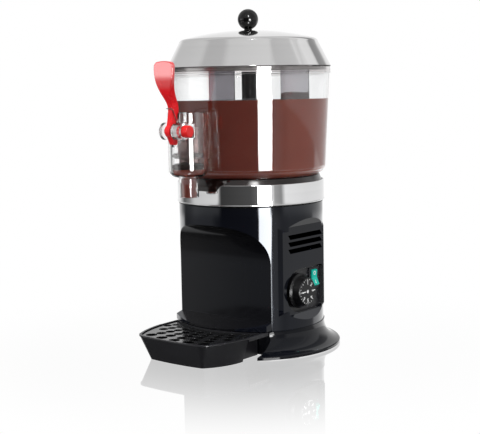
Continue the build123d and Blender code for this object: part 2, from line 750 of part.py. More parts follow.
def gear_case():
    """Gearbox of the mixer drive, with a bearing boss round the output shaft."""
    top = BRACKET_Z - BRACKET_T
    y0 = GEAR_CASE_SHIFT - GEAR_CASE_L / 2
    case = block(-GEAR_CASE_W / 2, GEAR_CASE_W / 2, y0, y0 + GEAR_CASE_L, top - GEAR_CASE_H, top)
    case = fillet(case.edges().filter_by(Axis.Z), GEAR_CASE_W / 6)
    return case - rod(SHAFT_R + RUN_FIT, top - GEAR_CASE_H / 2, top + 1)


def gear_case_bottom():
    return BRACKET_Z - BRACKET_T - GEAR_CASE_H


def motor_stack():
    """Laminated core of the drive motor with its bearing caps, the rotor sealed inside."""
    high = gear_case_bottom()
    frame = block(-STACK_W / 2, STACK_W / 2, GEAR_CASE_SHIFT, GEAR_CASE_SHIFT + STACK_T, high - STACK_W, high)
    frame -= block(-STACK_GAP_W / 2, STACK_GAP_W / 2, 0, BODY_R,
                   high - STACK_W + COIL_CORE, high - STACK_W + COIL_CORE + STACK_GAP_H)
    rotor_z = high - (STACK_W - COIL_CORE - STACK_GAP_H) / 2
    return frame + y_rod(CAP_R, GEAR_CASE_SHIFT - CAP_T, GEAR_CASE_SHIFT + STACK_T + CAP_T, 0, rotor_z)


def motor_coil():
    low = gear_case_bottom() - STACK_W
    span = STACK_GAP_W - 2 * SEAT_GAP
    y_mid = GEAR_CASE_SHIFT + STACK_T / 2
    half = STACK_T / 2 + COIL_R / 2
    top = low + COIL_CORE + STACK_GAP_H - SEAT_GAP
    winding = block(-span / 2, span / 2, y_mid - half, y_mid + half, low - COIL_R / 2, top)
    winding = fillet(winding.edges().filter_by(Axis.X), COIL_R / 3)
    core = block(-STACK_W, STACK_W, GEAR_CASE_SHIFT, GEAR_CASE_SHIFT + STACK_T, low, low + COIL_CORE)
    return winding - core


def terminal_block():
    base = plate_top()
    terminal = block(TERMINAL_X - TERMINAL_W / 2, TERMINAL_X + TERMINAL_W / 2,
                     TERMINAL_Y - TERMINAL_L / 2, TERMINAL_Y + TERMINAL_L / 2, base, base + TERMINAL_H)
    pitch = TERMINAL_L / TERMINAL_POLES
    for i in range(TERMINAL_POLES):
        y = TERMINAL_Y - TERMINAL_L / 2 + (i + 0.5) * pitch
        terminal -= at(TERMINAL_X, y, 0) * rod(pitch / 4, base + TERMINAL_H / 2, base + TERMINAL_H + 1)
    return terminal


def drive_shaft():
    low = BRACKET_Z - BRACKET_T - GEAR_CASE_H / 2 + SEAT_GAP
    shaft = rod(SHAFT_R, low, shaft_top())
    return shaft + block(-DOG_W / 2, DOG_W / 2, -DOG_W / 2, DOG_W / 2, shaft_top(), shaft_top() + DOG_H)


def shaft_top():
    return TUBE_TOP + SEAT_GAP


def bowl_skin(inset):
    """Edges of the bowl's shoulder and wall, moved in by a wall, and their two ends."""
    radius = SHOULDER_R - inset
    centre_r = BOWL_LOW_R - SHOULDER_R
    centre_z = SHOULDER_Z + SHOULDER_R
    neck_r = max(SKIRT_R - inset, centre_r)
    drop = math.sqrt(radius ** 2 - (neck_r - centre_r) ** 2)
    neck = (neck_r, centre_z - drop)
    waist = (centre_r + radius * math.cos(math.radians(40)), centre_z - radius * math.sin(math.radians(40)))
    side = (centre_r + radius, centre_z)
    rim = (BOWL_HIGH_R - inset, BOWL_RIM)
    return neck, [ThreePointArc(neck, waist, side), Line(side, rim)], rim


def bowl_outside():
    """Filled outer form of the bowl."""
    neck, edges, rim = bowl_skin(0)
    bead_low = (RIM_BEAD_R, BOWL_RIM)
    bead_high = (RIM_BEAD_R, BOWL_TOP)
    return turned(Line((0, BOWL_FLOOR), (SKIRT_R, BOWL_FLOOR)), Line((SKIRT_R, BOWL_FLOOR), neck), *edges,
                  Line(rim, bead_low), Line(bead_low, bead_high), Line(bead_high, (0, BOWL_TOP)),
                  Line((0, BOWL_TOP), (0, BOWL_FLOOR)))


def bowl_inside():
    neck, edges, rim = bowl_skin(BOWL_T)
    skirt_in = SKIRT_R - BOWL_T
    floor = BOWL_FLOOR + BOWL_T
    step = (skirt_in, neck[1])
    mouth = (rim[0], BOWL_TOP + 1)
    return turned(Line((0, floor), (skirt_in, floor)), Line((skirt_in, floor), step), Line(step, neck),
                  *edges, Line(rim, mouth), Line(mouth, (0, mouth[1])), Line((0, mouth[1]), (0, floor)))


def tap_port():
    """Slot-shaped way from the bowl into the tap."""
    port = Plane.XZ * SlotOverall(PORT_W, PORT_H)
    return at(0, -BOWL_LOW_R / 2, PORT_Z) * extrude(port, amount=BOWL_LOW_R / 2 + TAP_OUT)


def tap_window():
    """Window through the bowl's wall and the tap's web that the inlet duct fills."""
    window = Plane.XZ * RectangleRounded(TAP_STUB_W, TAP_STUB_H, TAP_STUB_H / 4)
    return at(0, -SKIRT_R, PORT_Z) * extrude(window, amount=TAP_OUT)


def bowl_neck_z():
    return bowl_skin(0)[0][1]


def bowl():
    """Clear bowl from its shoulder to its rim, over the foot that stands in the water."""
    return (bowl_outside() - bowl_inside() - tap_window()) & rod(LID_RIM_R, bowl_neck_z(), BOWL_TOP)


def bowl_foot():
    """Narrow foot of the bowl, bonded under its shoulder, with a hole for the centre tube."""
    foot = ring(SKIRT_R, SKIRT_R - BOWL_T, BOWL_FLOOR, bowl_neck_z())
    foot += ring(SKIRT_R - BOWL_T / 2, TUBE_R, BOWL_FLOOR, BOWL_FLOOR + BOWL_T)
    edge = foot.edges().filter_by(GeomType.CIRCLE).group_by(Axis.Z)[0].sort_by(SortBy.RADIUS)[-1]
    return fillet(edge, BOWL_T / 2)


def bowl_tube():
    """Clear tube bonded into the bowl's floor, round the drive shaft."""
    return ring(TUBE_R, TUBE_BORE_R, BOWL_FLOOR, TUBE_TOP)


def tap_axis(solid):
    return at(0, TAP_Y, 0) * solid


def tap_barrel():
    """Outer form of the tap below and above its floor, with the spout."""
    barrel = rod(TAP_R, TAP_Z, TAP_TOP)
    barrel = fillet(barrel.edges().filter_by(GeomType.CIRCLE).sort_by(Axis.Z)[0], TAP_BOTTOM_FILLET)
    return tap_axis(barrel + rod(SPOUT_R, TAP_Z - SPOUT_L, TAP_Z + TAP_FLOOR_T))


def tap_floor_z():
    return TAP_Z + TAP_FLOOR_T


def tap_spout():
    """Rounded floor of the tap with the spout under it."""
    low = tap_axis(ring(TAP_R + 1, SPOUT_BORE_R, TAP_Z - SPOUT_L, tap_floor_z()))
    return (tap_barrel() & low) - bowl_outside()


def tap_duct():
    """Clear block in the window, with the slot that leads from the bowl into the tap."""
    return tap_window() - tap_axis(rod(TAP_BORE_R, TAP_Z, TAP_TOP)) - bowl_inside() - tap_port()


def tap_housing():
    """Clear tap body bonded to the bowl and to the tap's floor, with lever slot and two lugs."""
    housing = tap_barrel() & tap_axis(rod(TAP_R + 1, tap_floor_z(), TAP_TOP))
    housing += block(-TAP_WEB_HALF_W, TAP_WEB_HALF_W, TAP_Y, -SKIRT_R, tap_floor_z(), TAP_TOP)
    for inside, outside in ((-LEFT_LUG_OUT, -LEFT_LUG_IN), (RIGHT_LUG_IN, RIGHT_LUG_OUT)):
        housing += x_rod(LUG_R, inside, outside, PIVOT_Y, PIVOT_Z)
        housing += block(inside, outside, PIVOT_Y, TAP_Y, PIVOT_Z - LUG_R * 0.8, PIVOT_Z + LUG_R * 0.8)
    housing -= tap_axis(rod(TAP_BORE_R, tap_floor_z() - 1, TAP_TOP + 1))
    slot_z = TAP_Z + TAP_SLOT_LOW
    housing -= block(-TAP_SLOT_HALF_W, TAP_SLOT_HALF_W, PIVOT_Y, TAP_Y, slot_z, TAP_TOP + 1)
    relief_y = TAP_Y - TAP_BORE_R - TAP_RELIEF_T
    housing -= block(-TAP_SLOT_HALF_W, TAP_SLOT_HALF_W, PIVOT_Y, relief_y, slot_z - TAP_RELIEF_H, slot_z + 1)
    housing -= x_rod(PIN_R, -LEFT_LUG_OUT - 1, RIGHT_LUG_OUT + 1, PIVOT_Y, PIVOT_Z)
    return housing - bowl_outside() - tap_window()


def lever_pin():
    pin = x_rod(PIN_R, -LEFT_LUG_OUT - PIN_TAIL, RIGHT_LUG_OUT, PIVOT_Y, PIVOT_Z)
    pin = chamfer(pin.edges().sort_by(Axis.X)[0], PIN_TAIL / 2)
    head = x_rod(PIN_HEAD_R, RIGHT_LUG_OUT, RIGHT_LUG_OUT + PIN_HEAD_L, PIVOT_Y, PIVOT_Z)
    return pin + fillet(head.edges().sort_by(Axis.X)[-1], PIN_HEAD_R / 4)


def lever_side_edges():
    """Side outline of the lever's grip, as (y, z): a neck that sweeps forward into a thin paddle."""
    front = Spline(*[(PIVOT_Y + y, PIVOT_Z + z) for y, z in LEVER_FRONT_LINE])
    rear = Spline(*[(PIVOT_Y + y, PIVOT_Z + z) for y, z in LEVER_REAR_LINE])
    return [front, Line(front @ 1, rear @ 1), rear, Line(rear @ 0, front @ 0)]


def lever_front_face():
    """Front outline of the grip, as (x, z): a straight neck that opens into the paddle."""
    top = PIVOT_Z + LEVER_FRONT_LINE[-1][1] - LEVER_CROWN
    neck = LEVER_HALF_W
    neck_top = PIVOT_Z + LEVER_NECK_TOP
    wide = LEVER_TOP_HALF_W
    shoulder = (wide, top - LEVER_CORNER_R)
    swell = [(x, PIVOT_Z + z) for x, z in LEVER_WIDTH_LINE]
    right = Spline((neck, neck_top), *swell, shoulder)
    left = mirror(right, Plane.YZ)
    corner = (wide - LEVER_CORNER_R, top)
    bulge = LEVER_CORNER_R * (1 - math.sqrt(0.5))
    round_right = ThreePointArc(shoulder, (wide - bulge, top - bulge), corner)
    round_left = mirror(round_right, Plane.YZ)
    foot = Polyline((-neck, neck_top), (-neck, PIVOT_Z), (neck, PIVOT_Z), (neck, neck_top))
    crown = ThreePointArc(corner, (0, top + LEVER_CROWN), (-corner[0], top))
    edges = [right, round_right, crown, round_left, left]
    return make_face(edges + list(foot.edges()))


def capsule_x(radius_a, start, radius_b, end, half_w):
    """Two rounds along X joined by a tapered bar."""
    length = math.hypot(end[0] - start[0], end[1] - start[1])
    across = ((start[1] - end[1]) / length, (end[0] - start[0]) / length)
    bar = loop((start[0] + radius_a * across[0], start[1] + radius_a * across[1]),
               (end[0] + radius_b * across[0], end[1] + radius_b * across[1]),
               (end[0] - radius_b * across[0], end[1] - radius_b * across[1]),
               (start[0] - radius_a * across[0], start[1] - radius_a * across[1]))
    solid = along_x(bar, -half_w, half_w) + x_rod(radius_a, -half_w, half_w, *start)
    return solid + x_rod(radius_b, -half_w, half_w, *end)


def tap_lever():
    side = along_x(lever_side_edges(), -2 * LEVER_TOP_HALF_W, 2 * LEVER_TOP_HALF_W)
    front = at(0, TAP_Y, 0) * extrude(Plane.XZ * lever_front_face(), amount=2 * LEVER_ARM_L + TAP_R)
    grip = side & front
    grip = fillet(grip.edges().filter_by(lambda e: e.center().Z > PIVOT_Z + LEVER_HUB_R), LEVER_EDGE_R)
    pivot = (PIVOT_Y, PIVOT_Z)
    lever = grip + x_rod(LEVER_HUB_R, -LEVER_HALF_W, LEVER_HALF_W, *pivot)
    lever += capsule_x(LEVER_ARM_R, pivot, LEVER_ARM_R, (TIP_Y, TIP_Z), LEVER_HALF_W)
    lever += x_rod(LEVER_TIP_R, -LEVER_HALF_W, LEVER_HALF_W, TIP_Y, TIP_Z)
    tail = (PIVOT_Y + TAIL_BACK, PIVOT_Z - TAIL_DOWN)
    lever += capsule_x(LEVER_HUB_R * 0.8, pivot, TAIL_R, tail, LEVER_HALF_W)
    return lever - x_rod(PIN_R + RUN_FIT, -LEFT_LUG_OUT, RIGHT_LUG_OUT, *pivot)


def biarc(start, start_way, end, end_way):
    """Two arcs that leave one point and reach the next along the given directions."""
    v = end - start
    t = start_way + end_way
    way = v.dot(t)
    denominator = 2 * (1 - start_way.dot(end_way))
    if denominator < 1e-9:
        reach = v.dot(v) / (4 * v.dot(end_way))
    else:
        reach = (-way + math.sqrt(way ** 2 + denominator * v.dot(v))) / denominator
    joint = (start + end + (start_way - end_way) * reach) * 0.5
    joint_way = (end - end_way * reach - start - start_way * reach).normalized()
    return arc_or_line(start, start_way, joint) + arc_or_line(joint, joint_way, end)


def arc_or_line(start, way, end):
    if (end - start).normalized().dot(way) > 1 - 1e-9:
        return [Edge.make_line(start, end)]
    return [Edge.make_tangent_arc(start, way, end)]


def spring_stations():
    """Points and directions of the return spring: hook round the lever, coil on the pin, straight tail."""
    x = LEVER_HALF_W + SEAT_GAP + WIRE_R
    front = PIVOT_Y + LEVER_FRONT_LINE[2][0] - 2 * SEAT_GAP - WIRE_R
    back = PIVOT_Y + COIL_TURN_R
    high = PIVOT_Z + SPRING_BIGHT_RISE
    bend = PIVOT_Z + SPRING_BEND_RISE
    corner = 3 * WIRE_R
    slope = Vector(0, back - front, bend - high).normalized()
    stations = [(Vector(-x, front + SPRING_HOOK_L, high), Vector(0, -1, 0)),
                (Vector(-x, front + corner, high), Vector(0, -1, 0)),
                (Vector(corner - x, front, high), Vector(1, 0, 0)),
                (Vector(x - corner, front, high), Vector(1, 0, 0)),
                (Vector(x, front, high) + slope * corner, slope),
                (Vector(x, back, bend) - slope * corner * 2, slope),
                (Vector(x, back, bend - corner * 2), Vector(0, 0, -1))]
    quarters = 4 * COIL_TURNS
    speed = Vector(COIL_PITCH / (2 * math.pi * COIL_TURN_R), 0, 0)
    for i in range(quarters + 1):
        turn = math.pi / 2 * i
        spot = Vector(x + COIL_PITCH * i / 4, PIVOT_Y + COIL_TURN_R * math.cos(turn),
                      PIVOT_Z - COIL_TURN_R * math.sin(turn))
        way = Vector(0, -math.sin(turn), -math.cos(turn)) + speed
        stations.append((spot, way.normalized()))
    last, _ = stations[-1]
    stations.append((last + Vector(0, 0, -SPRING_TAIL_L), Vector(0, 0, -1)))
    return stations


def spring_path():
    stations = spring_stations()
    edges = []
    for (p0, w0), (p1, w1) in zip(stations, stations[1:]):
        edges += biarc(p0, w0, p1, w1)
    return Wire(edges)


def self_gap(path, wire_r, skip):
    """Least clear gap of a wire to itself, between points that lie apart along it."""
    count = 600
    points = [path.position_at(i / count) for i in range(count + 1)]
    step = path.length / count
    apart = math.ceil(skip / step)
    nearest = min((points[i] - points[j]).length
                  for i in range(len(points)) for j in range(i + apart, len(points)))
    return nearest - 2 * wire_r


def lever_spring():
    path = spring_path()
    gap = self_gap(path, WIRE_R, 8 * WIRE_R)
    print("lever spring: least gap to itself %.2f mm over %.0f mm of wire" % (gap, path.length))
    section = Plane(path @ 0, z_dir=path % 0) * Circle(WIRE_R)
    return sweep(section, path=path)


def seal_levels():
    """Bottom of the lower seal and of the upper seal."""
    low = PORT_Z - PORT_H / 2 - THIN_LAND_T - LOWER_SEAL_T
    return low, PORT_Z + PORT_H / 2 + THIN_LAND_T


def tap_piston():
    low, high = seal_levels()
    bottom = TAP_Z + TAP_FLOOR_T + PISTON_GAP
    mid = low + LOWER_SEAL_T
    top = TIP_Z + STEM_TOP
    land = PISTON_LAND_R
    groove = PISTON_GROOVE_R
    piston = turned_points((0, bottom), (land, bottom), (land, low), (groove, low), (groove, mid),
                           (land, mid), (land, mid + THIN_LAND_T), (PISTON_WAIST_R, mid + 2 * THIN_LAND_T),
                           (PISTON_WAIST_R, high - 2 * THIN_LAND_T), (land, high - THIN_LAND_T), (land, high),
                           (groove, high), (groove, high + UPPER_SEAL_T), (land, high + UPPER_SEAL_T),
                           (land, high + UPPER_SEAL_T + THIN_LAND_T),
                           (PISTON_STEM_R, high + UPPER_SEAL_T + THIN_LAND_T), (PISTON_STEM_R, top), (0, top))
    piston = tap_axis(piston)
    spread = math.tan(math.radians(LEVER_SWING / 2))
    tight = LEVER_TIP_R + LOOSE_GAP
    front = TAP_Y - PISTON_STEM_R - 1
    wide = max(tight, (TIP_Y - front) * spread + LEVER_ARM_R + 2 * LOOSE_GAP)
    near = TIP_Y - LEVER_TIP_R
    back = TIP_Y + LEVER_TIP_R + 2 * LOOSE_GAP
    window = loop((front, TIP_Z - wide), (near, TIP_Z - tight), (back, TIP_Z - tight),
                  (back, TIP_Z + tight), (near, TIP_Z + tight), (front, TIP_Z + wide))
    half_w = LEVER_HALF_W + LOOSE_GAP
    return piston - along_x(window, -half_w, half_w)


def piston_seal(low, thickness):
    outer = TAP_BORE_R - RUN_FIT
    edge = outer - SEAL_LIP
    ring_solid = turned_points((PISTON_GROOVE_R, low), (edge, low), (outer, low + SEAL_LIP),
                               (outer, low + thickness - SEAL_LIP), (edge, low + thickness),
                               (PISTON_GROOVE_R, low + thickness))
    return tap_axis(ring_solid)


def lower_seal():
    return piston_seal(seal_levels()[0], LOWER_SEAL_T)


def upper_seal():
    return piston_seal(seal_levels()[1], UPPER_SEAL_T)


def lid():
    """Spun steel lid: brim, cone, round shoulder and low crown, with a collar inside the rim."""
    def skin(inset):
        rim = (LID_RIM_R - inset, LID_Z + LID_BRIM_T)
        cone = (LID_RIM_R - LID_CONE_RUN - inset, LID_SHOULDER_Z - inset / 2)
        shoulder = (cone[0] - LID_SHOULDER_RUN, LID_SHOULDER_Z + LID_SHOULDER_RISE - inset)
        round_mid = ((cone[0] + shoulder[0]) / 2 + 0.9, (cone[1] + shoulder[1]) / 2 + 0.9)
        apex = (0, LID_TOP - inset)
        crown_mid = (shoulder[0] / 2, shoulder[1] + (apex[1] - shoulder[1]) * 0.75)
        edges = [Line(rim, cone), ThreePointArc(cone, round_mid, shoulder),
                 ThreePointArc(shoulder, crown_mid, apex)]
        return rim, edges, apex

    rim, outer, apex = skin(0)
    rim_in, inner, apex_in = skin(SHEET)
    foot = (rim[0], LID_Z)
    foot_in = (rim_in[0], LID_Z)
    solid = turned(Line(foot_in, foot), Line(foot, rim), *outer, Line(apex, apex_in), *inner,
                   Line(rim_in, foot_in))
    full = turned(Line((0, LID_Z), foot), Line(foot, rim), *outer, Line(apex, (0, LID_Z)))
    collar_r = BOWL_HIGH_R - BOWL_T - LID_COLLAR_GAP
    collar = ring(collar_r, collar_r - LID_COLLAR_T, LID_Z - LID_COLLAR_DEPTH, LID_TOP)
    collar &= full + rod(BOWL_HIGH_R - BOWL_T, LID_Z - LID_COLLAR_DEPTH, LID_Z)
    return solid + collar - rod(LID_SCREW_R, LID_Z, LID_TOP + 1)


def knob_disc():
    disc = rod(KNOB_DISC_R, LID_TOP - SHEET / 4, LID_TOP + KNOB_DISC_T)
    disc = fillet(disc.edges().sort_by(Axis.Z)[-1], KNOB_DISC_T / 3)
    return disc - lid_outside_cap() - rod(LID_SCREW_R, LID_Z, LID_TOP + 2 * BALL_R)


def lid_outside_cap():
    """The lid's crown as a filled form, to seat the knob disc on."""
    shoulder_r = LID_RIM_R - LID_CONE_RUN - LID_SHOULDER_RUN
    shoulder = (shoulder_r, LID_SHOULDER_Z + LID_SHOULDER_RISE)
    apex = (0, LID_TOP)
    crown_mid = (shoulder_r / 2, shoulder[1] + (apex[1] - shoulder[1]) * 0.75)
    return turned(ThreePointArc(shoulder, crown_mid, apex), Line(apex, (0, LID_Z)),
                  Line((0, LID_Z), (shoulder_r, LID_Z)), Line((shoulder_r, LID_Z), shoulder))


def lid_knob():
    base = LID_TOP + KNOB_DISC_T
    centre = base + BALL_R - BALL_SINK
    ball = at(0, 0, centre) * Sphere(BALL_R)
    ball -= block(-BALL_R, BALL_R, -BALL_R, BALL_R, base - 2 * BALL_R, base)
    return ball - rod(LID_SCREW_R, LID_Z, base + LID_SCREW_L - KNOB_DISC_T)


def lid_screw():
    under = LID_TOP - SHEET - 0.2
    head = rod(LID_SCREW_HEAD_R, under - LID_SCREW_HEAD_H, under)
    return head + rod(LID_SCREW_R, under - 1, LID_TOP + LID_SCREW_L)


def mixer_turn(solid):
    return Rot(0, 0, MIXER_ANGLE) * solid


def mixer_bottom():
    return BOWL_FLOOR + BOWL_T + MIXER_FLOOR_GAP


def mixer_column():
    """Sleeve over the bowl's tube, closed on top with a square socket for the shaft."""
    top = shaft_top() + DOG_H + SEAT_GAP + SLEEVE_CAP_T
    column = rod(SLEEVE_R, mixer_bottom(), top)
    column = fillet(column.edges().sort_by(Axis.Z)[-1], SLEEVE_CAP_T / 2)
    column -= rod(SLEEVE_BORE_R, 0, shaft_top())
    socket = DOG_W / 2 + SEAT_GAP
    return column - block(-socket, socket, -socket, socket, 0, shaft_top() + DOG_H + SEAT_GAP)


def mixer_blades():
    """Hub with two arms, each with an upright blade, set at unlike radii."""
    low = mixer_bottom()
    reach = SKIRT_R - BOWL_T - ARM_END_GAP
    hub = rod(HUB_R, low, low + HUB_H)
    arms = block(-reach, reach, -ARM_T / 2, ARM_T / 2, low, low + ARM_H)
    arms = fillet(arms.edges().filter_by(Axis.Z), ARM_T / 3)
    wide_z = SHOULDER_Z + SHOULDER_R
    top = BOWL_RIM
    outer = OUTER_BLADE_R + BLADE_W
    tall = loop((OUTER_BLADE_R, low), (min(reach, outer), low), (outer, wide_z), (outer, top),
                (OUTER_BLADE_R, top))
    inner = -INNER_BLADE_R - BLADE_W
    short = loop((-INNER_BLADE_R, low), (-INNER_BLADE_R, top), (inner, top), (inner, low))
    half = BLADE_T / 2
    blades = hub + arms + along_y(tall, -half, half) + along_y(short, -half, half)
    return mixer_turn(blades - rod(SLEEVE_R, 0, BOWL_TOP))


def tray_outline(inset):
    """Top outline of the tray: bowed front, rounded corners, sides that swell towards the body."""
    front = TRAY_FRONT - inset
    bow = front - TRAY_FRONT_BOW
    nose = TRAY_FRONT_HALF_W - inset
    full = TRAY_HALF_W - inset
    side_mid = (TRAY_SIDE_HALF_W - inset, -TRAY_SIDE_Y)
    back = -TRAY_BACK - inset
    right = ThreePointArc((nose, -bow), side_mid, (full, -TRAY_FULL_Y))
    left = mirror(right, Plane.YZ)
    face = make_face([ThreePointArc((-nose, -bow), (0, -front), (nose, -bow)), right,
                      Line((full, -TRAY_FULL_Y), (full, back)), Line((full, back), (-full, back)),
                      Line((-full, back), (-full, -TRAY_FULL_Y)), left])
    corners = [v for v in face.vertices() if abs(v.Y + bow) < 0.01]
    return fillet(corners, TRAY_CORNER_R - inset)


def tray_basin(inset, z0):
    """Tapered tray form under the rim, cut off where the tongue starts."""
    lean = (TRAY_TOP - z0) * math.tan(math.radians(TRAY_DRAFT))
    form = loft([at(0, 0, z0) * tray_outline(inset + lean), at(0, 0, TRAY_TOP) * tray_outline(inset)])
    step = -TRAY_STEP - inset
    form -= block(-BASE_R, BASE_R, step, BASE_R, 0, TRAY_TOP + 1)
    tongue = block(-TONGUE_HALF_W + inset, TONGUE_HALF_W - inset, step - 1, -TRAY_BACK - inset, z0, TRAY_TOP)
    return form + tongue


def drip_tray():
    rim = at(0, 0, TRAY_TOP - TRAY_RIM_H) * extrude(tray_outline(0), amount=TRAY_RIM_H)
    rim = fillet(rim.edges().group_by(Axis.Z)[-1], TRAY_ROUND)
    rim -= block(-BASE_R, BASE_R, -2 * BASE_R, -TRAY_STEP, 0, TRAY_TOP - TRAY_EDGE_H)
    tray = rim + tray_basin(0, TRAY_LIFT)
    inside = tray_basin(TRAY_T, TRAY_LIFT + TRAY_T)
    tray -= inside & block(-BASE_R, BASE_R, -2 * BASE_R, 0, 0, TRAY_TOP - TRAY_RIM_H)
    tray -= inside & extrude(grid_outline(GRID_SHELF_W), amount=TRAY_TOP + 1)
    return tray - at(0, 0, GRID_Z) * extrude(grid_outline(0), amount=TRAY_TOP)


def grid_outline(inset):
    """Outline of the grid: the tray's rim inside its lip, cut by an arc along the niche ledge."""
    face = tray_outline(TRAY_LIP_W + inset)
    gap = LOOSE_GAP * 2 + inset
    centre = LIP_FRONT + LIP_ARC_R
    behind = at(0, centre, 0) * Circle(LIP_ARC_R + gap)
    return face - behind


def drip_grid():
    """Perforated plate, with rows of holes on arcs about the machine's axis."""
    plate = at(0, 0, GRID_Z) * extrude(grid_outline(SEAT_GAP), amount=GRID_T)
    limit = grid_outline(SEAT_GAP + GRID_EDGE)
    holes = []
    for row in range(GRID_ROWS):
        radius = GRID_FIRST_R * GRID_ROW_RATIO ** row
        hole_r = GRID_HOLE_SHARE * radius
        for step in range(-6, 7):
            angle = math.radians(GRID_STEP_DEG * step)
            spot = Vector(radius * math.sin(angle), -radius * math.cos(angle), 0)
            if inside_outline(limit, spot, hole_r):
                holes.append(at(spot.X, spot.Y, GRID_Z - 1) * Cylinder(hole_r, GRID_T + 2, align=UP))
    return plate - holes


def inside_outline(face, spot, radius):
    """True where a round of this radius lies inside the outline."""
    on_face = face.faces()[0].is_inside(spot)
    return on_face and Vertex(spot.X, spot.Y, spot.Z).distance(face.faces()[0].outer_wire()) > radius


NODES = {
    "base_flange": base_flange,
    "bottom_plate": bottom_plate,
    "feet": feet,
    "base_screws": base_screws,
    "body_shell": body_shell,
    "control_plate": control_plate,
    "thermostat_body": thermostat_body,
    "thermostat_spindle": thermostat_spindle,
    "thermostat_knob": thermostat_knob,
    "switch_body": switch_body,
    "switch_rocker": switch_rocker,
    "cable_gland": cable_gland,
    "water_tank": water_tank,
    "tank_tube": tank_tube,
    "heating_element": heating_element,
    "shaft_bush": shaft_bush,
    "bowl_seal": bowl_seal,
    "safety_cutout": safety_cutout,
    "bracket_standoffs": bracket_standoffs,
    "motor_bracket": motor_bracket,
    "gear_case": gear_case,
    "motor_stack": motor_stack,
    "motor_coil": motor_coil,
    "terminal_block": terminal_block,
    "drive_shaft": drive_shaft,
    "bowl": bowl,
    "bowl_foot": bowl_foot,
    "bowl_tube": bowl_tube,
    "tap_housing": tap_housing,
    "tap_spout": tap_spout,
    "tap_duct": tap_duct,
    "lever_pin": lever_pin,
    "tap_lever": tap_lever,
    "lever_spring": lever_spring,
    "tap_piston": tap_piston,
    "lower_seal": lower_seal,
    "upper_seal": upper_seal,
    "lid": lid,
    "knob_disc": knob_disc,
    "lid_knob": lid_knob,
    "lid_screw": lid_screw,
    "mixer_column": mixer_column,
    "mixer_blades": mixer_blades,
    "drip_tray": drip_tray,
    "drip_grid": drip_grid,
}

os.makedirs("parts", exist_ok=True)
for node, make in NODES.items():
    export_step(make(), "parts/" + node + ".step")
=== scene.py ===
import bpy
import json
import math
from mathutils import Matrix, Vector

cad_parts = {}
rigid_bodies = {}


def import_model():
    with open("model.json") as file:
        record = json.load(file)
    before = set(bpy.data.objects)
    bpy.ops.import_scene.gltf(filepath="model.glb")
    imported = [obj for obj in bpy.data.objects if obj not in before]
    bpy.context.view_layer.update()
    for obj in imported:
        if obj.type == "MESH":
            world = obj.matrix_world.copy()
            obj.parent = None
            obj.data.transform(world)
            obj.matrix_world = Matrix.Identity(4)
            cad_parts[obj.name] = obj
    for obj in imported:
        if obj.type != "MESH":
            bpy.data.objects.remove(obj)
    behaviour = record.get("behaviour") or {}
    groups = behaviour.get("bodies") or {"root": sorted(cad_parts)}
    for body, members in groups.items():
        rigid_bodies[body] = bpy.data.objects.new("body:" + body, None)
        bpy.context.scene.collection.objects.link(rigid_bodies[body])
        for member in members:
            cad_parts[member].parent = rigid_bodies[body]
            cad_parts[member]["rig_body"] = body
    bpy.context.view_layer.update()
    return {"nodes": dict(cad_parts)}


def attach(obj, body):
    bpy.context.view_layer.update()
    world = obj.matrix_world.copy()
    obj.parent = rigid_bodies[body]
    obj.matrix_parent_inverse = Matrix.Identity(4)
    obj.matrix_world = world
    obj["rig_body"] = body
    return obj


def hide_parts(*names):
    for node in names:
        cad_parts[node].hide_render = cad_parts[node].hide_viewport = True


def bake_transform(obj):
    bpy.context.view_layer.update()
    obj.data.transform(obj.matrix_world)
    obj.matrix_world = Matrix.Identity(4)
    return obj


# The hot chocolate dispenser, dressed for its picture. +Z is up, -Y the front, +X the control side.
# Lengths named here are millimetres and become metres by MM; the Vectors are metres already.

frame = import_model()
nodes = frame["nodes"]
MM = 0.001

# Sizes and places taken over from the CAD
DIAL_CENTRE = Vector((112.5, -16.0, 88.5)) * MM
ROCKER_PIVOT = Vector((91.0, 25.5, 100.5)) * MM
LEVER_PIVOT = Vector((0.0, -172.7, 321.6)) * MM
ROCKER_TILT, ROCKER_DEPTH, ROCKER_RISE, ROCKER_HALF_H = 10.0, 4.3, 2.5, 10.73
BOWL_SKIRT_R, BOWL_WALL_T, SHOULDER_R = 98.5, 3.5, 13.0
BOWL_FLOOR_Z, SHOULDER_Z, RIM_Z, BOWL_TOP_Z = 222.0, 265.0, 397.0, 407.0
BOWL_LOW_R, BOWL_HIGH_R, RIM_R, RIM_SLOPE, RIM_EDGE = 110.5, 117.5, 119.0, 0.4, 0.6
TAP_Y, TAP_LOW_Z, TAP_FLOOR_Z, TAP_TOP_Z = -138.5, 257.0, 262.0, 346.0
TAP_R, TAP_BORE_R, TAP_ROUND_R, TAP_EDGE, TAP_WEB_HALF_W = 27.4, 22.2, 12.0, 0.8, 18.0
SPOUT_R, SPOUT_BORE_R, SPOUT_LOW_Z, SPOUT_EDGE, SPOUT_FILLET = 13.7, 10.7, 229.0, 0.8, 1.5
PORT_HALF_W, PORT_HALF_H, PORT_Z = 6.0, 3.75, 280.0
SLOT_HALF_W, SLOT_LOW_Z, RELIEF_T, RELIEF_H = 6.0, 304.5, 1.8, 5.0
LUG_R, LUG_WEB_SHARE, PIN_R = 11.8, 0.8, 4.2
LUG_SPANS = ((-11.4, -6.0), (9.6, 24.5))
TUBE_R, TUBE_HOLE_H = 8.5, 5.0
BAND_R, SHEET, BAND_TOP_Z, SEAL_TOP_Z, SEAL_GAP = 107.9, 1.5, 243.5, 251.7, 0.5
BODY_R, BODY_TOP_Z = 106.0, 213.8
BLADE_TOP_Z, BLADE_T = 397.0, 3.0
LID_TOP_Z, LID_CROWN_R, LID_SCREW_R = 460.3, 385.2, 2.5

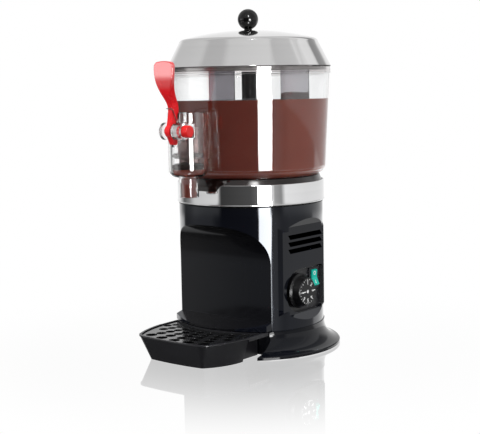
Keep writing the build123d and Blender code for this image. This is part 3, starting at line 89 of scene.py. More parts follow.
# Forms that the scene adds; profiles are pairs of radius and height
CHOCOLATE_PROFILE = ((95.2, 225.3), (95.2, 255.3), (97.6, 255.3), (101.3, 256.1), (104.5, 258.3),
                     (106.5, 261.6), (107.2, 265.2), (109.85, 315.0), (112.3, 361.0))
CHOCOLATE_INSETS = ((0.8, 0.5), (2.0, 0.5), (5.0, 0.3), (30.0, 0.0), (30.0, 0.0))
FILM_T, FILM_GAP, FILM_FLOOR_GAP, FILM_H = 0.5, 0.1, 0.05, 6.4
PLUG_GAP, PLUG_SET_BACK = 0.05, 0.4
NECK_FORM = ((6.4, -0.6), (6.4, 0.3), (5.7, 0.9), (5.6, 1.6), (6.2, 2.3))
NECK_CUT_RADII = (20.0, 16.0, 12.0, 8.0, 4.0, 0.5)
NECK_CUT_DEPTH, NECK_HOLE_LOW, NECK_HOLE_HIGH = 3.0, 2.0, 4.0
SEAL_GROOVE = ((0.0, -11.0), (0.0, -2.4), (-0.5, -1.9), (-1.6, -1.7))
SEAL_CROWN = ((3.1, -1.6), (2.5, -0.7), (1.5, -0.1), (0.6, 0.0))
EDGE_R, EDGE_SINK, SEAM_RING_R, SEAM_RING_SINK = 1.0, 0.3, 1.0, 0.15
BLADE_LIFT, BLADE_CORNER_R, BLADE_EDGE_R, BLADE_TOP_BAND, BLADE_ACROSS = 5.0, 7.0, 0.5, 0.5, 1.2
PRINT_DEPTH, PRINT_EDGE, PRINT_BOLD = 0.06, 0.08, 0.03
# Bars of the dial's scale: inner and outer radius, width, first and last angle, number
DIAL_BARS = ((15.0, 18.2, 1.2, 0, 270, 7), (16.2, 18.2, 0.7, 15, 255, 17),
             (4.5, 18.2, 1.5, 270, 270, 1))
NUMERALS, NUMERAL_STEP, NUMERAL_SIZE, NUMERAL_R = 6, 45, 6.9, 12.4
HUB_R, HUB_EDGE = 2.4, 0.1
SIGN_SIZE, SIGN_Z = 7.4, 6.2
WIRE_R, SPRING_SIDE, COIL_R, COIL_PITCH, COIL_TURNS, COIL_POINTS = 0.6, 5.3, 6.3, 1.7, 2, 14
LEG_FRONT, LEG_BACK, HOOK_Z, BEND_Z, TAIL_BEND_Z, TAIL_Z = -2.6, 6.2, 30.5, 13.0, -6.0, -13.0
HOOK_LENGTH, HOOK_MIDDLE, HOOK_BACK, HOOK_DROP = 4.5, 2.0, 1.2, 2.4
OVERCUT, SLIVER, MERGE_GAP = 1.0, 0.01, 0.002
SMOOTH_ANGLE, BOWL_SMOOTH_ANGLE, SHARP_ANGLE, FLAT_ANGLE = 40.0, 32.0, 35.0, 0.5
BOWL_SIDES, FILLING_SIDES, TAP_SIDES, LUG_SIDES, FILM_SIDES = 192, 144, 96, 72, 72
TUBE_SIDES, HOLE_SIDES, HUB_SIDES, SCREW_SIDES, WIRE_SIDES = 64, 48, 40, 32, 16

# Where finishes change
NICHE_R, NICHE_FRONT_Y, NICHE_LOW_Z = 105.3, -60.0, 36.2
# NICHE_LIT_X and NICHE_SHADED_X bound the niche's painted shading, paler at its left, darker at its
# right
NICHE_LIT_X, NICHE_SHADED_X, NICHE_DULLNESS, SHELL_COAT = -90.0, 70.0, 0.09, 0.4
# Painted light: box round the control pocket's rear wall, whose colour is made grey as if lit
POCKET_LIT_WALL, POCKET_LIT_WALL_HALF = (95.0, 43.5, 88.5), (2.9, 0.9, 31.2)
GREY_RIM_LOW_Z, GREY_RIM_HIGH_Z, GREY_RIM_STEP = 397.8, 398.4, 3.1
TIDE_LOW_Z, TIDE_HIGH_Z, TIDE_WAVE, TIDE_WAVE_SCALE = 362.5, 363.5, 14.0, 70.0
# Collar band inside the rim, and the brim's underside, whose near-black colour is painted shade
COLLAR_LOW_Z, COLLAR_HIGH_Z, COLLAR_DULLNESS, BRIM_SHADE_R, BRIM_SHADE_Z = 407.6, 407.9, 0.40, 116.5, 408.1
PADDLE_LOW_Z, PADDLE_HIGH_Z = 374.0, 386.0
SHANK_LEFT_X, SHANK_RIGHT_X = -11.45, 16.5
# Span of the chocolate's painted light, from shaded to lit, across towards the camera's right
CHOCOLATE_SHADED, CHOCOLATE_LIT = 12.0, 62.0

# Camera: the side it stands on (degrees from the front), distance and height (metres), angles
CAMERA_SIDE = 38.0
CAMERA_DISTANCE, CAMERA_HEIGHT = 1.6524, 0.3869
CAMERA_PAN, CAMERA_PITCH, CAMERA_ROLL = -0.576, 6.897, -1.019
SENSOR_WIDTH, FOCAL_PIXELS, PICTURE_PIXELS, NEAR_CLIP = 36.0, 1121.1, 480, 0.05


def set_camera():
    """Camera fitted to the photo's round rims, upright edges and floor line."""
    pan, pitch, roll = (math.radians(a) for a in (CAMERA_PAN, CAMERA_PITCH, CAMERA_ROLL))
    right = Vector((math.cos(pan), -math.sin(pan), 0))
    ahead = Vector((math.sin(pan) * math.cos(pitch), math.cos(pan) * math.cos(pitch),
                    -math.sin(pitch)))
    up = right.cross(ahead)
    tilted_right = right * math.cos(roll) + up * math.sin(roll)
    tilted_up = up * math.cos(roll) - right * math.sin(roll)
    place = Matrix((tilted_right, tilted_up, -ahead)).transposed().to_4x4()
    place.translation = Vector((0, -CAMERA_DISTANCE, CAMERA_HEIGHT))
    data = bpy.data.cameras.new("camera")
    data.sensor_width = SENSOR_WIDTH
    data.lens = SENSOR_WIDTH * FOCAL_PIXELS / PICTURE_PIXELS
    data.clip_start = NEAR_CLIP
    camera = bpy.data.objects.new("camera", data)
    bpy.context.scene.collection.objects.link(camera)
    camera.matrix_world = Matrix.Rotation(math.radians(CAMERA_SIDE), 4, "Z") @ place
    bpy.context.scene.camera = camera


# Node helpers

def add(tree, kind, **settings):
    node = tree.nodes.new(kind)
    for name, value in settings.items():
        setattr(node, name, value)
    return node


def feed(socket, value):
    """Links a socket to the output that makes its value, or sets the value on it."""
    if isinstance(value, bpy.types.NodeSocket):
        socket.id_data.links.new(value, socket)
    else:
        socket.default_value = value


def math_node(tree, operation, *values):
    node = add(tree, "ShaderNodeMath", operation=operation)
    for socket, value in zip(node.inputs, values):
        feed(socket, value)
    return node.outputs[0]


def all_of(tree, mask, *others):
    """Masks multiplied: one only where each of them is one."""
    for other in others:
        mask = math_node(tree, "MULTIPLY", mask, other)
    return mask


def map_range(tree, value, low, high, to_low=0.0, to_high=1.0, smooth=True):
    node = add(tree, "ShaderNodeMapRange", interpolation_type="SMOOTHSTEP" if smooth else "LINEAR")
    for socket, number in zip(node.inputs, (value, low, high, to_low, to_high)):
        feed(socket, number)
    return node.outputs["Result"]


def noise(tree, place, scale, detail, dimensions="3D"):
    node = add(tree, "ShaderNodeTexNoise", noise_dimensions=dimensions)
    feed(node.inputs["W" if dimensions == "1D" else "Vector"], place)
    feed(node.inputs["Scale"], scale)
    feed(node.inputs["Detail"], detail)
    return node.outputs["Fac"]


def blend_colour(tree, factor, first, second):
    node = add(tree, "ShaderNodeMix", data_type="RGBA")
    feed(node.inputs[0], factor)
    for socket, value in ((node.inputs[6], first), (node.inputs[7], second)):
        feed(socket, (*value, 1.0) if isinstance(value, tuple) else value)
    return node.outputs[2]


def axes(tree, vector):
    node = add(tree, "ShaderNodeSeparateXYZ")
    feed(node.inputs[0], vector)
    return tuple(node.outputs)


def axis_distance(tree, x, y):
    """Distance from the upright axis."""
    squares = (math_node(tree, "POWER", part, 2.0) for part in (x, y))
    return math_node(tree, "SQRT", math_node(tree, "ADD", *squares))


def mix_shaders(tree, factor, first, second):
    node = add(tree, "ShaderNodeMixShader")
    for socket, value in zip(node.inputs, (factor, first, second)):
        feed(socket, value)
    return node.outputs[0]


# Effects that finishes share, as node groups, and the spans of noise that they use
SHADE_SPAN = 0.3, 0.7
SMUDGE_SPAN = 0.46, 0.72
STREAK_SPAN, STREAK_LEAST, STREAK_FINENESS = (0.3, 0.6), 0.6, 9.0
BROAD_LINES = 0.06
DUST_SLOPE_SPAN, DUST_SPAN = (0.7, 1.0), (0.5, 0.8)
DUST_SCALE, DUST_COLOUR = 60.0, (0.32, 0.31, 0.30)
MOULDED_DRIFT, METAL_SMUDGES, METAL_DEPTH = 14.0, 16.0, 0.1


def effect(name, inputs, outputs):
    """A node group that takes a place and numbers and gives numbers."""
    tree = bpy.data.node_groups.new(name, "ShaderNodeTree")
    tree.interface.new_socket("Place", in_out="INPUT", socket_type="NodeSocketVector")
    for way, labels in (("INPUT", inputs), ("OUTPUT", outputs)):
        for label in labels:
            tree.interface.new_socket(label, in_out=way, socket_type="NodeSocketFloat")
    return tree, tree.nodes.new("NodeGroupInput").outputs, tree.nodes.new("NodeGroupOutput").inputs


def moulded_grain_effect():
    """Fine moulding grain for bump, and slow drifts of shade."""
    tree, given, result = effect("moulded_grain", ("Grain", "Drift"), ("Height", "Shade"))
    feed(result["Height"], noise(tree, given["Place"], given["Grain"], 4.0))
    drift = noise(tree, given["Place"], given["Drift"], 2.0)
    feed(result["Shade"], map_range(tree, drift, *SHADE_SPAN))
    return tree


def handling_effect():
    """Roughness that changes where hands and cloths have been."""
    tree, given, result = effect("handling", ("Size", "Clean", "Smudged"), ("Roughness",))
    broad = noise(tree, given["Place"], given["Size"], 5.0)
    fine = math_node(tree, "MULTIPLY", given["Size"], STREAK_FINENESS)
    streaks = noise(tree, given["Place"], fine, 2.0)
    mask = all_of(tree, map_range(tree, broad, *SMUDGE_SPAN),
                  map_range(tree, streaks, *STREAK_SPAN, STREAK_LEAST, 1.0))
    feed(result["Roughness"],
         map_range(tree, mask, 0.0, 1.0, given["Clean"], given["Smudged"], False))
    return tree


def turned_lines_effect():
    """Fine lines round the upright axis, as spinning or polishing leaves them."""
    tree, given, result = effect("turned_lines", ("Lines",), ("Height", "Shade"))
    x, y, z = axes(tree, given["Place"])
    run = math_node(tree, "ADD", axis_distance(tree, x, y), z)
    feed(result["Height"], noise(tree, run, given["Lines"], 2.0, "1D"))
    few = math_node(tree, "MULTIPLY", given["Lines"], BROAD_LINES)
    broad = noise(tree, run, few, 2.0, "1D")
    feed(result["Shade"], map_range(tree, broad, *SHADE_SPAN))
    return tree


def settled_dust_effect():
    """A little dust where a surface faces up."""
    tree, given, result = effect("settled_dust", ("Most",), ("Dust",))
    rise = axes(tree, add(tree, "ShaderNodeNewGeometry").outputs["Normal"])[2]
    specks = noise(tree, given["Place"], DUST_SCALE, 8.0)
    level, specks = map_range(tree, rise, *DUST_SLOPE_SPAN), map_range(tree, specks, *DUST_SPAN)
    feed(result["Dust"], all_of(tree, level, specks, given["Most"]))
    return tree


GRAIN = moulded_grain_effect()
HANDLING = handling_effect()
TURNED = turned_lines_effect()
DUST = settled_dust_effect()


# Finishes

def new_finish(name, **constants):
    """A material with its shader and Object coordinates; constants go on the shader itself."""
    material = bpy.data.materials.new(name)
    material.use_nodes = True
    tree = material.node_tree
    shader = tree.nodes["Principled BSDF"]
    for socket, value in constants.items():
        feed(shader.inputs[socket.replace("_", " ")], value)
    place = add(tree, "ShaderNodeTexCoord").outputs["Object"]
    return material, tree, shader, place


def use_effect(tree, group, place, **values):
    node = add(tree, "ShaderNodeGroup", node_tree=group)
    feed(node.inputs["Place"], place)
    for socket, value in values.items():
        feed(node.inputs[socket], value)
    return node.outputs


def handle_and_bump(tree, shader, place, clean, smudged, size, height, strength, depth):
    """Gives a shader handled gloss, and bump from a height."""
    handled = use_effect(tree, HANDLING, place, Clean=clean, Smudged=smudged, Size=size)
    feed(shader.inputs["Roughness"], handled["Roughness"])
    node = add(tree, "ShaderNodeBump")
    feed(node.inputs["Strength"], strength)
    feed(node.inputs["Distance"], depth * MM)
    feed(node.inputs["Height"], height)
    feed(shader.inputs["Normal"], node.outputs[0])


def grained_finish(name, grain, drift, clean, smudged, strength, depth=0.2, size=22.0, specular=0.5,
                   **constants):
    """A finish with moulding grain and handled gloss, ready for colours that use its shade."""
    material, tree, shader, place = new_finish(name, Specular_IOR_Level=specular, **constants)
    grained = use_effect(tree, GRAIN, place, Grain=grain, Drift=drift)
    handle_and_bump(tree, shader, place, clean, smudged, size, grained["Height"], strength, depth)
    return material, tree, shader, place, grained["Shade"]


def turned_finish(name, lines, clean, smudged, strength):
    """A metal finish with fine turned lines, ready for colours that use its shade."""
    material, tree, shader, place = new_finish(name, Metallic=1.0)
    turned = use_effect(tree, TURNED, place, Lines=lines)
    handle_and_bump(tree, shader, place, clean, smudged, METAL_SMUDGES, turned["Height"], strength,
                    METAL_DEPTH)
    return material, tree, shader, place, turned["Shade"]


def paint(shader, colour):
    feed(shader.inputs["Base Color"], colour)


def dull_where(tree, shader, mask, amount):
    """Adds to the roughness where a mask is one."""
    rough = shader.inputs["Roughness"]
    gloss = rough.links[0].from_socket
    feed(rough, math_node(tree, "MULTIPLY_ADD", mask, amount, gloss))


def moulded(name, deep, pale, clean, smudged, grain, strength, specular, dust=0.0, **constants):
    """Moulded or cast finish, with a little dust if asked."""
    material, tree, shader, place, shade = grained_finish(
        name, grain, MOULDED_DRIFT, clean, smudged, strength, specular=specular, **constants)
    colour = blend_colour(tree, shade, deep, pale)
    if dust:
        settled = use_effect(tree, DUST, place, Most=dust)
        colour = blend_colour(tree, settled["Dust"], colour, DUST_COLOUR)
    paint(shader, colour)
    return material


def turned_metal(name, deep, pale, clean, smudged, lines, strength):
    """Spun, drawn or turned metal with fine lines round its axis."""
    material, tree, shader, _, shade = turned_finish(name, lines, clean, smudged, strength)
    paint(shader, blend_colour(tree, shade, deep, pale))
    return material


def gloss_black_shell():
    """Glossy black body. The cup niche has a duller skin without lacquer and painted shading, paler
    at its left; the rear wall of the control pocket is painted grey, as if lit."""
    material, tree, shader, place, shade = grained_finish(
        "gloss_black_shell", grain=500.0, drift=9.0, clean=0.035, smudged=0.075, strength=0.02,
        depth=0.1, specular=0.22, Specular_Tint=(0.80, 0.88, 1.0, 1.0), Coat_Roughness=0.035)
    x, y, z = axes(tree, place)
    niche = all_of(tree, math_node(tree, "LESS_THAN", axis_distance(tree, x, y), NICHE_R * MM),
                   math_node(tree, "LESS_THAN", y, NICHE_FRONT_Y * MM),
                   math_node(tree, "GREATER_THAN", z, NICHE_LOW_Z * MM))
    # Painted light: the control pocket's rear wall is given a grey colour, as if lit
    wall = all_of(tree, *(math_node(tree, "COMPARE", part, middle * MM, half * MM)
                          for part, middle, half in zip((x, y, z), POCKET_LIT_WALL, POCKET_LIT_WALL_HALF)))
    skin = blend_colour(tree, shade, (0.0032, 0.0037, 0.0068), (0.0045, 0.0054, 0.0098))
    skin = blend_colour(tree, wall, skin, (0.060, 0.060, 0.064))
    # Painted shading: the niche's colour is paler at its left and darker at its right
    back = blend_colour(tree, map_range(tree, x, NICHE_LIT_X * MM, NICHE_SHADED_X * MM),
                        (0.0165, 0.0162, 0.0170), (0.0050, 0.0050, 0.0064))
    paint(shader, blend_colour(tree, niche, skin, back))
    dull_where(tree, shader, niche, NICHE_DULLNESS)
    feed(shader.inputs["Coat Weight"], map_range(tree, niche, 0.0, 1.0, SHELL_COAT, 0.0, False))
    return material


def clear_plastic():
    """Clear moulded plastic; the bowl's thick rim is grey, in fine steps."""
    material, tree, shader, place, shade = grained_finish(
        "clear_plastic", grain=60.0, drift=8.0, clean=0.0, smudged=0.03, strength=0.012, size=30.0,
        Transmission_Weight=1.0, IOR=1.58)
    z = axes(tree, place)[2]
    rim = map_range(tree, z, GREY_RIM_LOW_Z * MM, GREY_RIM_HIGH_Z * MM)
    turns = math_node(tree, "MULTIPLY", z, 2 * math.pi / (GREY_RIM_STEP * MM))
    steps = math_node(tree, "SINE", turns)
    # Grey in fine steps over the bowl's thick rim
    ground = blend_colour(tree, map_range(tree, steps, -0.6, 0.6), (0.64, 0.62, 0.62),
                          (0.80, 0.78, 0.78))
    clear = blend_colour(tree, shade, (0.97, 0.98, 0.985), (0.99, 0.99, 0.99))
    paint(shader, blend_colour(tree, rim, clear, ground))
    return material


def smoke_clear():
    """Smoke-tinted clear plastic of the tap's piston."""
    material, tree, shader, _, shade = grained_finish(
        "smoke_clear", grain=300.0, drift=40.0, clean=0.02, smudged=0.08, strength=0.03, depth=0.1,
        size=60.0, Transmission_Weight=1.0, IOR=1.47)
    paint(shader, blend_colour(tree, shade, (0.34, 0.25, 0.24), (0.42, 0.32, 0.31)))
    return material


def smoke_grey_blade():
    """Smoke grey plastic of the mixer blades. The blade on the control side is painted paler, as if
    lit from that side, and keeps a tide mark of chocolate just over the level."""
    material, tree, shader, place, shade = grained_finish(
        "smoke_grey_blade", grain=600.0, drift=20.0, clean=0.10, smudged=0.20, strength=0.05,
        Transmission_Weight=0.72, IOR=1.4)
    x, _, z = axes(tree, place)
    wave = math_node(tree, "MULTIPLY", noise(tree, place, TIDE_WAVE_SCALE, 2.0), TIDE_WAVE * MM)
    tide = map_range(tree, math_node(tree, "SUBTRACT", z, wave), TIDE_LOW_Z * MM, TIDE_HIGH_Z * MM,
                     1.0, 0.0)
    # Painted light: the blade on the control side gets a paler grey, the other a darker one
    lit_blade = math_node(tree, "GREATER_THAN", x, 0.0)
    dull = blend_colour(tree, shade, (0.33, 0.31, 0.345), (0.39, 0.37, 0.41))
    pale = blend_colour(tree, shade, (0.60, 0.59, 0.63), (0.66, 0.65, 0.69))
    grey = blend_colour(tree, lit_blade, dull, pale)
    paint(shader, blend_colour(tree, all_of(tree, tide, lit_blade), grey, (0.030, 0.012, 0.011)))
    return material


def green_rocker():
    """Translucent green rocker, lit a little from behind."""
    material, tree, shader, _, shade = grained_finish(
        "green_rocker", grain=700.0, drift=90.0, clean=0.14, smudged=0.24, strength=0.03,
        depth=0.1, specular=0.2, Emission_Strength=0.30)
    colour = blend_colour(tree, shade, (0.002, 0.34, 0.262), (0.004, 0.41, 0.322))
    paint(shader, colour)
    feed(shader.inputs["Emission Color"], colour)
    return material


def lid_steel():
    """Polished lid, painted dark under its brim as shade; the collar inside the bowl's rim is dull
    from steam, and darker.
    """
    material, tree, shader, place, shade = turned_finish(
        "lid_steel", lines=1800.0, clean=0.07, smudged=0.10, strength=0.004)
    x, y, z = axes(tree, place)
    collar = map_range(tree, z, COLLAR_LOW_Z * MM, COLLAR_HIGH_Z * MM, 1.0, 0.0)
    # Painted shade: the underside of the brim is made near black
    brim = all_of(tree, math_node(tree, "GREATER_THAN", axis_distance(tree, x, y), BRIM_SHADE_R * MM),
                  math_node(tree, "LESS_THAN", z, BRIM_SHADE_Z * MM))
    dull = math_node(tree, "MAXIMUM", collar, brim)
    bright = blend_colour(tree, shade, (0.68, 0.675, 0.675), (0.70, 0.695, 0.695))
    dark = blend_colour(tree, brim, (0.38, 0.37, 0.365), (0.06, 0.056, 0.055))
    paint(shader, blend_colour(tree, dull, bright, dark))
    dull_where(tree, shader, dull, COLLAR_DULLNESS)
    return material


def lever_red():
    """Red lever, duller on its stem and polished by thumbs on its paddle."""
    material, tree, shader, place, shade = grained_finish(
        "lever_red", grain=700.0, drift=30.0, clean=0.24, smudged=0.34, strength=0.02,
        specular=0.24, Coat_Roughness=0.10, Coat_IOR=2.2)
    polished = map_range(tree, axes(tree, place)[2], PADDLE_LOW_Z * MM, PADDLE_HIGH_Z * MM)
    feed(shader.inputs["Coat Weight"], polished)
    paint(shader, blend_colour(tree, shade, (0.75, 0.009, 0.015), (0.83, 0.013, 0.020)))
    return material


def pin_red():
    """Red lever pin, whose shank, seen through the clear lugs, is left in natural plastic."""
    material, tree, shader, place, shade = grained_finish(
        "pin_red", grain=700.0, drift=60.0, clean=0.12, smudged=0.20, strength=0.03, depth=0.1,
        specular=0.3)
    x = axes(tree, place)[0]
    shank = all_of(tree, math_node(tree, "LESS_THAN", x, SHANK_RIGHT_X * MM),
                   math_node(tree, "GREATER_THAN", x, SHANK_LEFT_X * MM))
    red = blend_colour(tree, shade, (0.74, 0.013, 0.014), (0.82, 0.018, 0.018))
    paint(shader, blend_colour(tree, shank, red, (0.74, 0.72, 0.72)))
    return material


def chocolate():
    """Thick hot chocolate: slow swirls of shade, painted paler on the side the light falls on, and
    a soft wet gloss.
    """
    material, tree, shader, place, shade = grained_finish(
        "chocolate", grain=38.0, drift=11.0, clean=0.22, smudged=0.34, strength=0.05, depth=0.5,
        specular=0.03)
    x, y, _ = axes(tree, place)
    side = math.radians(CAMERA_SIDE)
    across = math_node(tree, "MULTIPLY_ADD", y, math.sin(side),
                       math_node(tree, "MULTIPLY", x, math.cos(side)))
    # Painted light: the chocolate is paler towards the camera's right, where light falls, and
    # darker to its left
    lit = map_range(tree, across, CHOCOLATE_SHADED * MM, CHOCOLATE_LIT * MM)
    deep = blend_colour(tree, shade, (0.195, 0.0440, 0.0300), (0.220, 0.0520, 0.0360))
    pale = blend_colour(tree, shade, (0.320, 0.0790, 0.0480), (0.350, 0.0880, 0.0550))
    paint(shader, blend_colour(tree, lit, deep, pale))
    return material


# Moulded finishes: deep and pale colour, clean and smudged roughness, grain, its strength, specular
MOULDED = {
    "gloss_black_knob": (
        (0.0025, 0.0025, 0.0025), (0.004, 0.004, 0.004), 0.04, 0.08, 500.0, 0.02, 0.35),
    "gloss_black_foot": (
        (0.0032, 0.0037, 0.006), (0.0045, 0.0054, 0.0085), 0.05, 0.09, 500.0, 0.02, 0.22),
    "satin_black": (
        (0.0120, 0.0120, 0.0143), (0.0165, 0.0165, 0.0192), 0.32, 0.44, 1100.0, 0.10, 0.35),
    "grid_black": ((0.0055, 0.0055, 0.006), (0.008, 0.008, 0.0085), 0.14, 0.24, 1100.0, 0.06, 0.45),
    "dial_black": ((0.004, 0.004, 0.0045), (0.006, 0.006, 0.007), 0.30, 0.42, 900.0, 0.06, 0.25),
    "seal_rubber": (
        (0.0085, 0.0040, 0.0036), (0.0125, 0.0058, 0.0052), 0.12, 0.22, 260.0, 0.10, 0.5),
    "rubber": ((0.003, 0.003, 0.003), (0.005, 0.005, 0.005), 0.50, 0.70, 1500.0, 0.12, 0.12),
    "brown_rubber": ((0.018, 0.0065, 0.0055), (0.026, 0.010, 0.008), 0.45, 0.60, 1500.0, 0.10, 0.1),
    "silicone": ((0.90, 0.89, 0.88), (0.95, 0.94, 0.93), 0.04, 0.10, 900.0, 0.02, 0.5),
    "dark_grey": ((0.020, 0.019, 0.020), (0.030, 0.029, 0.030), 0.22, 0.32, 800.0, 0.05, 0.1),
    "cast_alloy": ((0.42, 0.42, 0.43), (0.55, 0.55, 0.56), 0.40, 0.55, 420.0, 0.25, 0.5),
    "bronze": ((0.38, 0.24, 0.10), (0.50, 0.33, 0.15), 0.32, 0.45, 1300.0, 0.12, 0.5),
    "white_print": ((0.86, 0.86, 0.86), (0.92, 0.92, 0.92), 0.45, 0.60, 900.0, 0.05, 0.5),
}
MOULDED_MORE = {
    "satin_black": {"dust": 0.02},
    "silicone": {"Transmission_Weight": 1.0, "IOR": 1.40},
    "cast_alloy": {"Metallic": 1.0},
    "bronze": {"Metallic": 1.0},
}
# Turned metals: deep and pale colour, clean and smudged roughness, lines, their strength
TURNED_METALS = {
    "band_steel": ((0.69, 0.69, 0.695), (0.71, 0.71, 0.715), 0.03, 0.05, 1500.0, 0.002),
    "plain_steel": ((0.46, 0.46, 0.47), (0.56, 0.56, 0.57), 0.25, 0.38, 2400.0, 0.05),
    "spring_wire": ((0.20, 0.165, 0.15), (0.28, 0.235, 0.215), 0.18, 0.28, 2400.0, 0.03),
    "core_iron": ((0.12, 0.12, 0.125), (0.20, 0.20, 0.205), 0.40, 0.55, 2600.0, 0.25),
    "copper_wire": ((0.45, 0.19, 0.09), (0.58, 0.27, 0.13), 0.30, 0.42, 1600.0, 0.40),
}
FINISH = {make.__name__: make() for make in (
    gloss_black_shell, clear_plastic, smoke_clear, smoke_grey_blade, green_rocker, lid_steel,
    lever_red, pin_red, chocolate)}
for label, row in MOULDED.items():
    FINISH[label] = moulded(label, *row, **MOULDED_MORE.get(label, {}))
for label, row in TURNED_METALS.items():
    FINISH[label] = turned_metal(label, *row)

# Nodes shown as they are; the nodes that pieces of this scene replace are not drawn
NODE_FINISH = {
    "gloss_black_shell": ("body_shell", "switch_body"),
    "gloss_black_foot": ("base_flange",),
    "gloss_black_knob": ("lid_knob",),
    "satin_black": ("control_plate", "cable_gland", "terminal_block"),
    "dial_black": ("thermostat_knob",),
    "plain_steel": ("tank_tube", "bottom_plate", "base_screws", "thermostat_spindle",
                    "heating_element", "bracket_standoffs", "motor_bracket", "drive_shaft",
                    "lid_screw"),
    "rubber": ("feet",),
    "brown_rubber": ("lower_seal",),
    "silicone": ("upper_seal",),
    "clear_plastic": ("bowl_tube",),
    "smoke_clear": ("tap_piston",),
    "lever_red": ("tap_lever",),
    "pin_red": ("lever_pin",),
    "green_rocker": ("switch_rocker",),
    "dark_grey": ("mixer_column", "thermostat_body"),
    "cast_alloy": ("gear_case", "safety_cutout"),
    "core_iron": ("motor_stack",),
    "copper_wire": ("motor_coil",),
    "bronze": ("shaft_bush",),
}


def dress_nodes():
    for finish, names in NODE_FINISH.items():
        for name in names:
            for slot in nodes[name].material_slots:
                slot.material = FINISH[finish]


# Modelling helpers

def start_fresh():
    if bpy.context.mode != "OBJECT":
        bpy.ops.object.mode_set(mode="OBJECT")
    bpy.ops.object.select_all(action="DESELECT")


def activate(piece, others=()):
    """Selects a piece, with others if asked, and makes it the active one."""
    start_fresh()
    for each in (piece, *others):
        each.select_set(True)
    bpy.context.view_layer.objects.active = piece


def apply_place():
    bpy.ops.object.transform_apply(location=True, rotation=True, scale=True)


def edit_all():
    bpy.ops.object.mode_set(mode="EDIT")
    bpy.ops.mesh.select_all(action="SELECT")


def smooth(piece, angle=SMOOTH_ANGLE):
    activate(piece)
    bpy.ops.object.shade_smooth_by_angle(angle=math.radians(angle))


def join(piece, others):
    activate(piece, others)
    bpy.ops.object.join()


def settle(name, body, finish):
    """Names the active piece, puts its place into its mesh, gives it its finish and its body."""
    piece = bpy.context.object
    piece.name = name
    piece.data.name = name
    apply_place()
    piece.data.materials.clear()
    piece.data.materials.append(FINISH[finish])
    if body:
        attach(piece, body)
    return piece


def arc_points(centre_r, centre_z, radius, first, last, count):
    """Points of an arc, as (radius, height), between two angles from the level outwards."""
    turns = [math.radians(first + (last - first) * i / count) for i in range(count + 1)]
    return [(centre_r + radius * math.cos(t), centre_z + radius * math.sin(t)) for t in turns]


def draw_rings(profile, count, y=0.0):
    """Draws a round form up along its profile, ring by ring; its top face stays selected."""
    start_fresh()
    radius, height = profile[0]
    bpy.ops.mesh.primitive_circle_add(vertices=count, radius=radius * MM, fill_type="NGON",
                                      location=(0, y * MM, height * MM))
    apply_place()
    edit_all()
    for wide, high in profile[1:]:
        rise = (0, 0, (high - height) * MM)
        bpy.ops.mesh.extrude_region_move(TRANSFORM_OT_translate={"value": rise})
        share = wide / radius
        bpy.ops.transform.resize(value=(share, share, 1), center_override=(0, y * MM, high * MM))
        radius, height = wide, high


def close_form():
    """Turns all faces outwards and leaves edit mode."""
    bpy.ops.mesh.select_all(action="SELECT")
    bpy.ops.mesh.normals_make_consistent(inside=False)
    bpy.ops.object.mode_set(mode="OBJECT")
    return bpy.context.object


def lathe(profile, count, y=0.0):
    """A closed turned form."""
    draw_rings(profile, count, y)
    return close_form()


def brick(x0, x1, y0, y1, z0, z1):
    start_fresh()
    bpy.ops.mesh.primitive_cube_add(size=MM)
    piece = bpy.context.object
    piece.scale = (x1 - x0, y1 - y0, z1 - z0)
    piece.location = Vector((x0 + x1, y0 + y1, z0 + z1)) * MM / 2
    apply_place()
    return piece


def bar_along(axis, radius, first, last, centre, count, widen=1.0):
    """A round bar along X or Y, widened across if asked."""
    start_fresh()
    turn = (0, math.radians(90), 0) if axis == "X" else (math.radians(90), 0, 0)
    bpy.ops.mesh.primitive_cylinder_add(vertices=count, radius=radius * MM,
                                        depth=(last - first) * MM, rotation=turn)
    apply_place()
    bar = bpy.context.object
    middle = (first + last) / 2
    place = (middle, *centre) if axis == "X" else (centre[0], middle, centre[1])
    bar.scale.x = widen
    bar.location = Vector(place) * MM
    apply_place()
    return bar


def combine(target, operation, others):
    """Adds other forms to a form, or cuts them out of it."""
    for other in others:
        activate(target)
        bpy.ops.object.modifier_add(type="BOOLEAN")
        modifier = target.modifiers[-1]
        modifier.operation = operation
        modifier.solver = "EXACT"
        modifier.object = other
        bpy.ops.object.modifier_apply(modifier=modifier.name)
        bpy.data.objects.remove(other)
    return target


# Bowl, tap and chocolate

def pour_chocolate():
    """The filling, drawn up along the bowl's inside, with a raised edge where it meets the wall."""
    draw_rings(CHOCOLATE_PROFILE, FILLING_SIDES)
    for inset, drop in CHOCOLATE_INSETS:
        bpy.ops.mesh.inset(thickness=inset * MM)
        bpy.ops.transform.translate(value=(0, 0, -drop * MM))
    smooth(close_form())
    settle("chocolate_filling", "bowl", "chocolate")


def fill_tap():
    """Chocolate standing in the port, and its film on the tap's floor and down the spout."""
    wide, narrow = TAP_BORE_R - FILM_GAP, SPOUT_BORE_R - FILM_GAP
    floor, top = TAP_FLOOR_Z + FILM_FLOOR_GAP, TAP_FLOOR_Z + FILM_H
    skin = lathe([(narrow, SPOUT_LOW_Z + OVERCUT), (narrow, floor), (wide, floor), (wide, top)],
                 FILM_SIDES, TAP_Y)
    hollow = lathe([(narrow - FILM_T, SPOUT_LOW_Z), (narrow - FILM_T, floor + FILM_T),
                    (wide - FILM_T, floor + FILM_T), (wide - FILM_T, top + OVERCUT)],
                   FILM_SIDES, TAP_Y)
    skin = combine(skin, "DIFFERENCE", [hollow])
    plug = bar_along("Y", PORT_HALF_H - PLUG_GAP, TAP_Y + TAP_BORE_R + PLUG_SET_BACK,
                     -BOWL_LOW_R + BOWL_WALL_T, (0, PORT_Z), HOLE_SIDES, PORT_HALF_W / PORT_HALF_H)
    join(skin, [plug])
    smooth(skin)
    settle("tap_chocolate", "bowl", "chocolate")


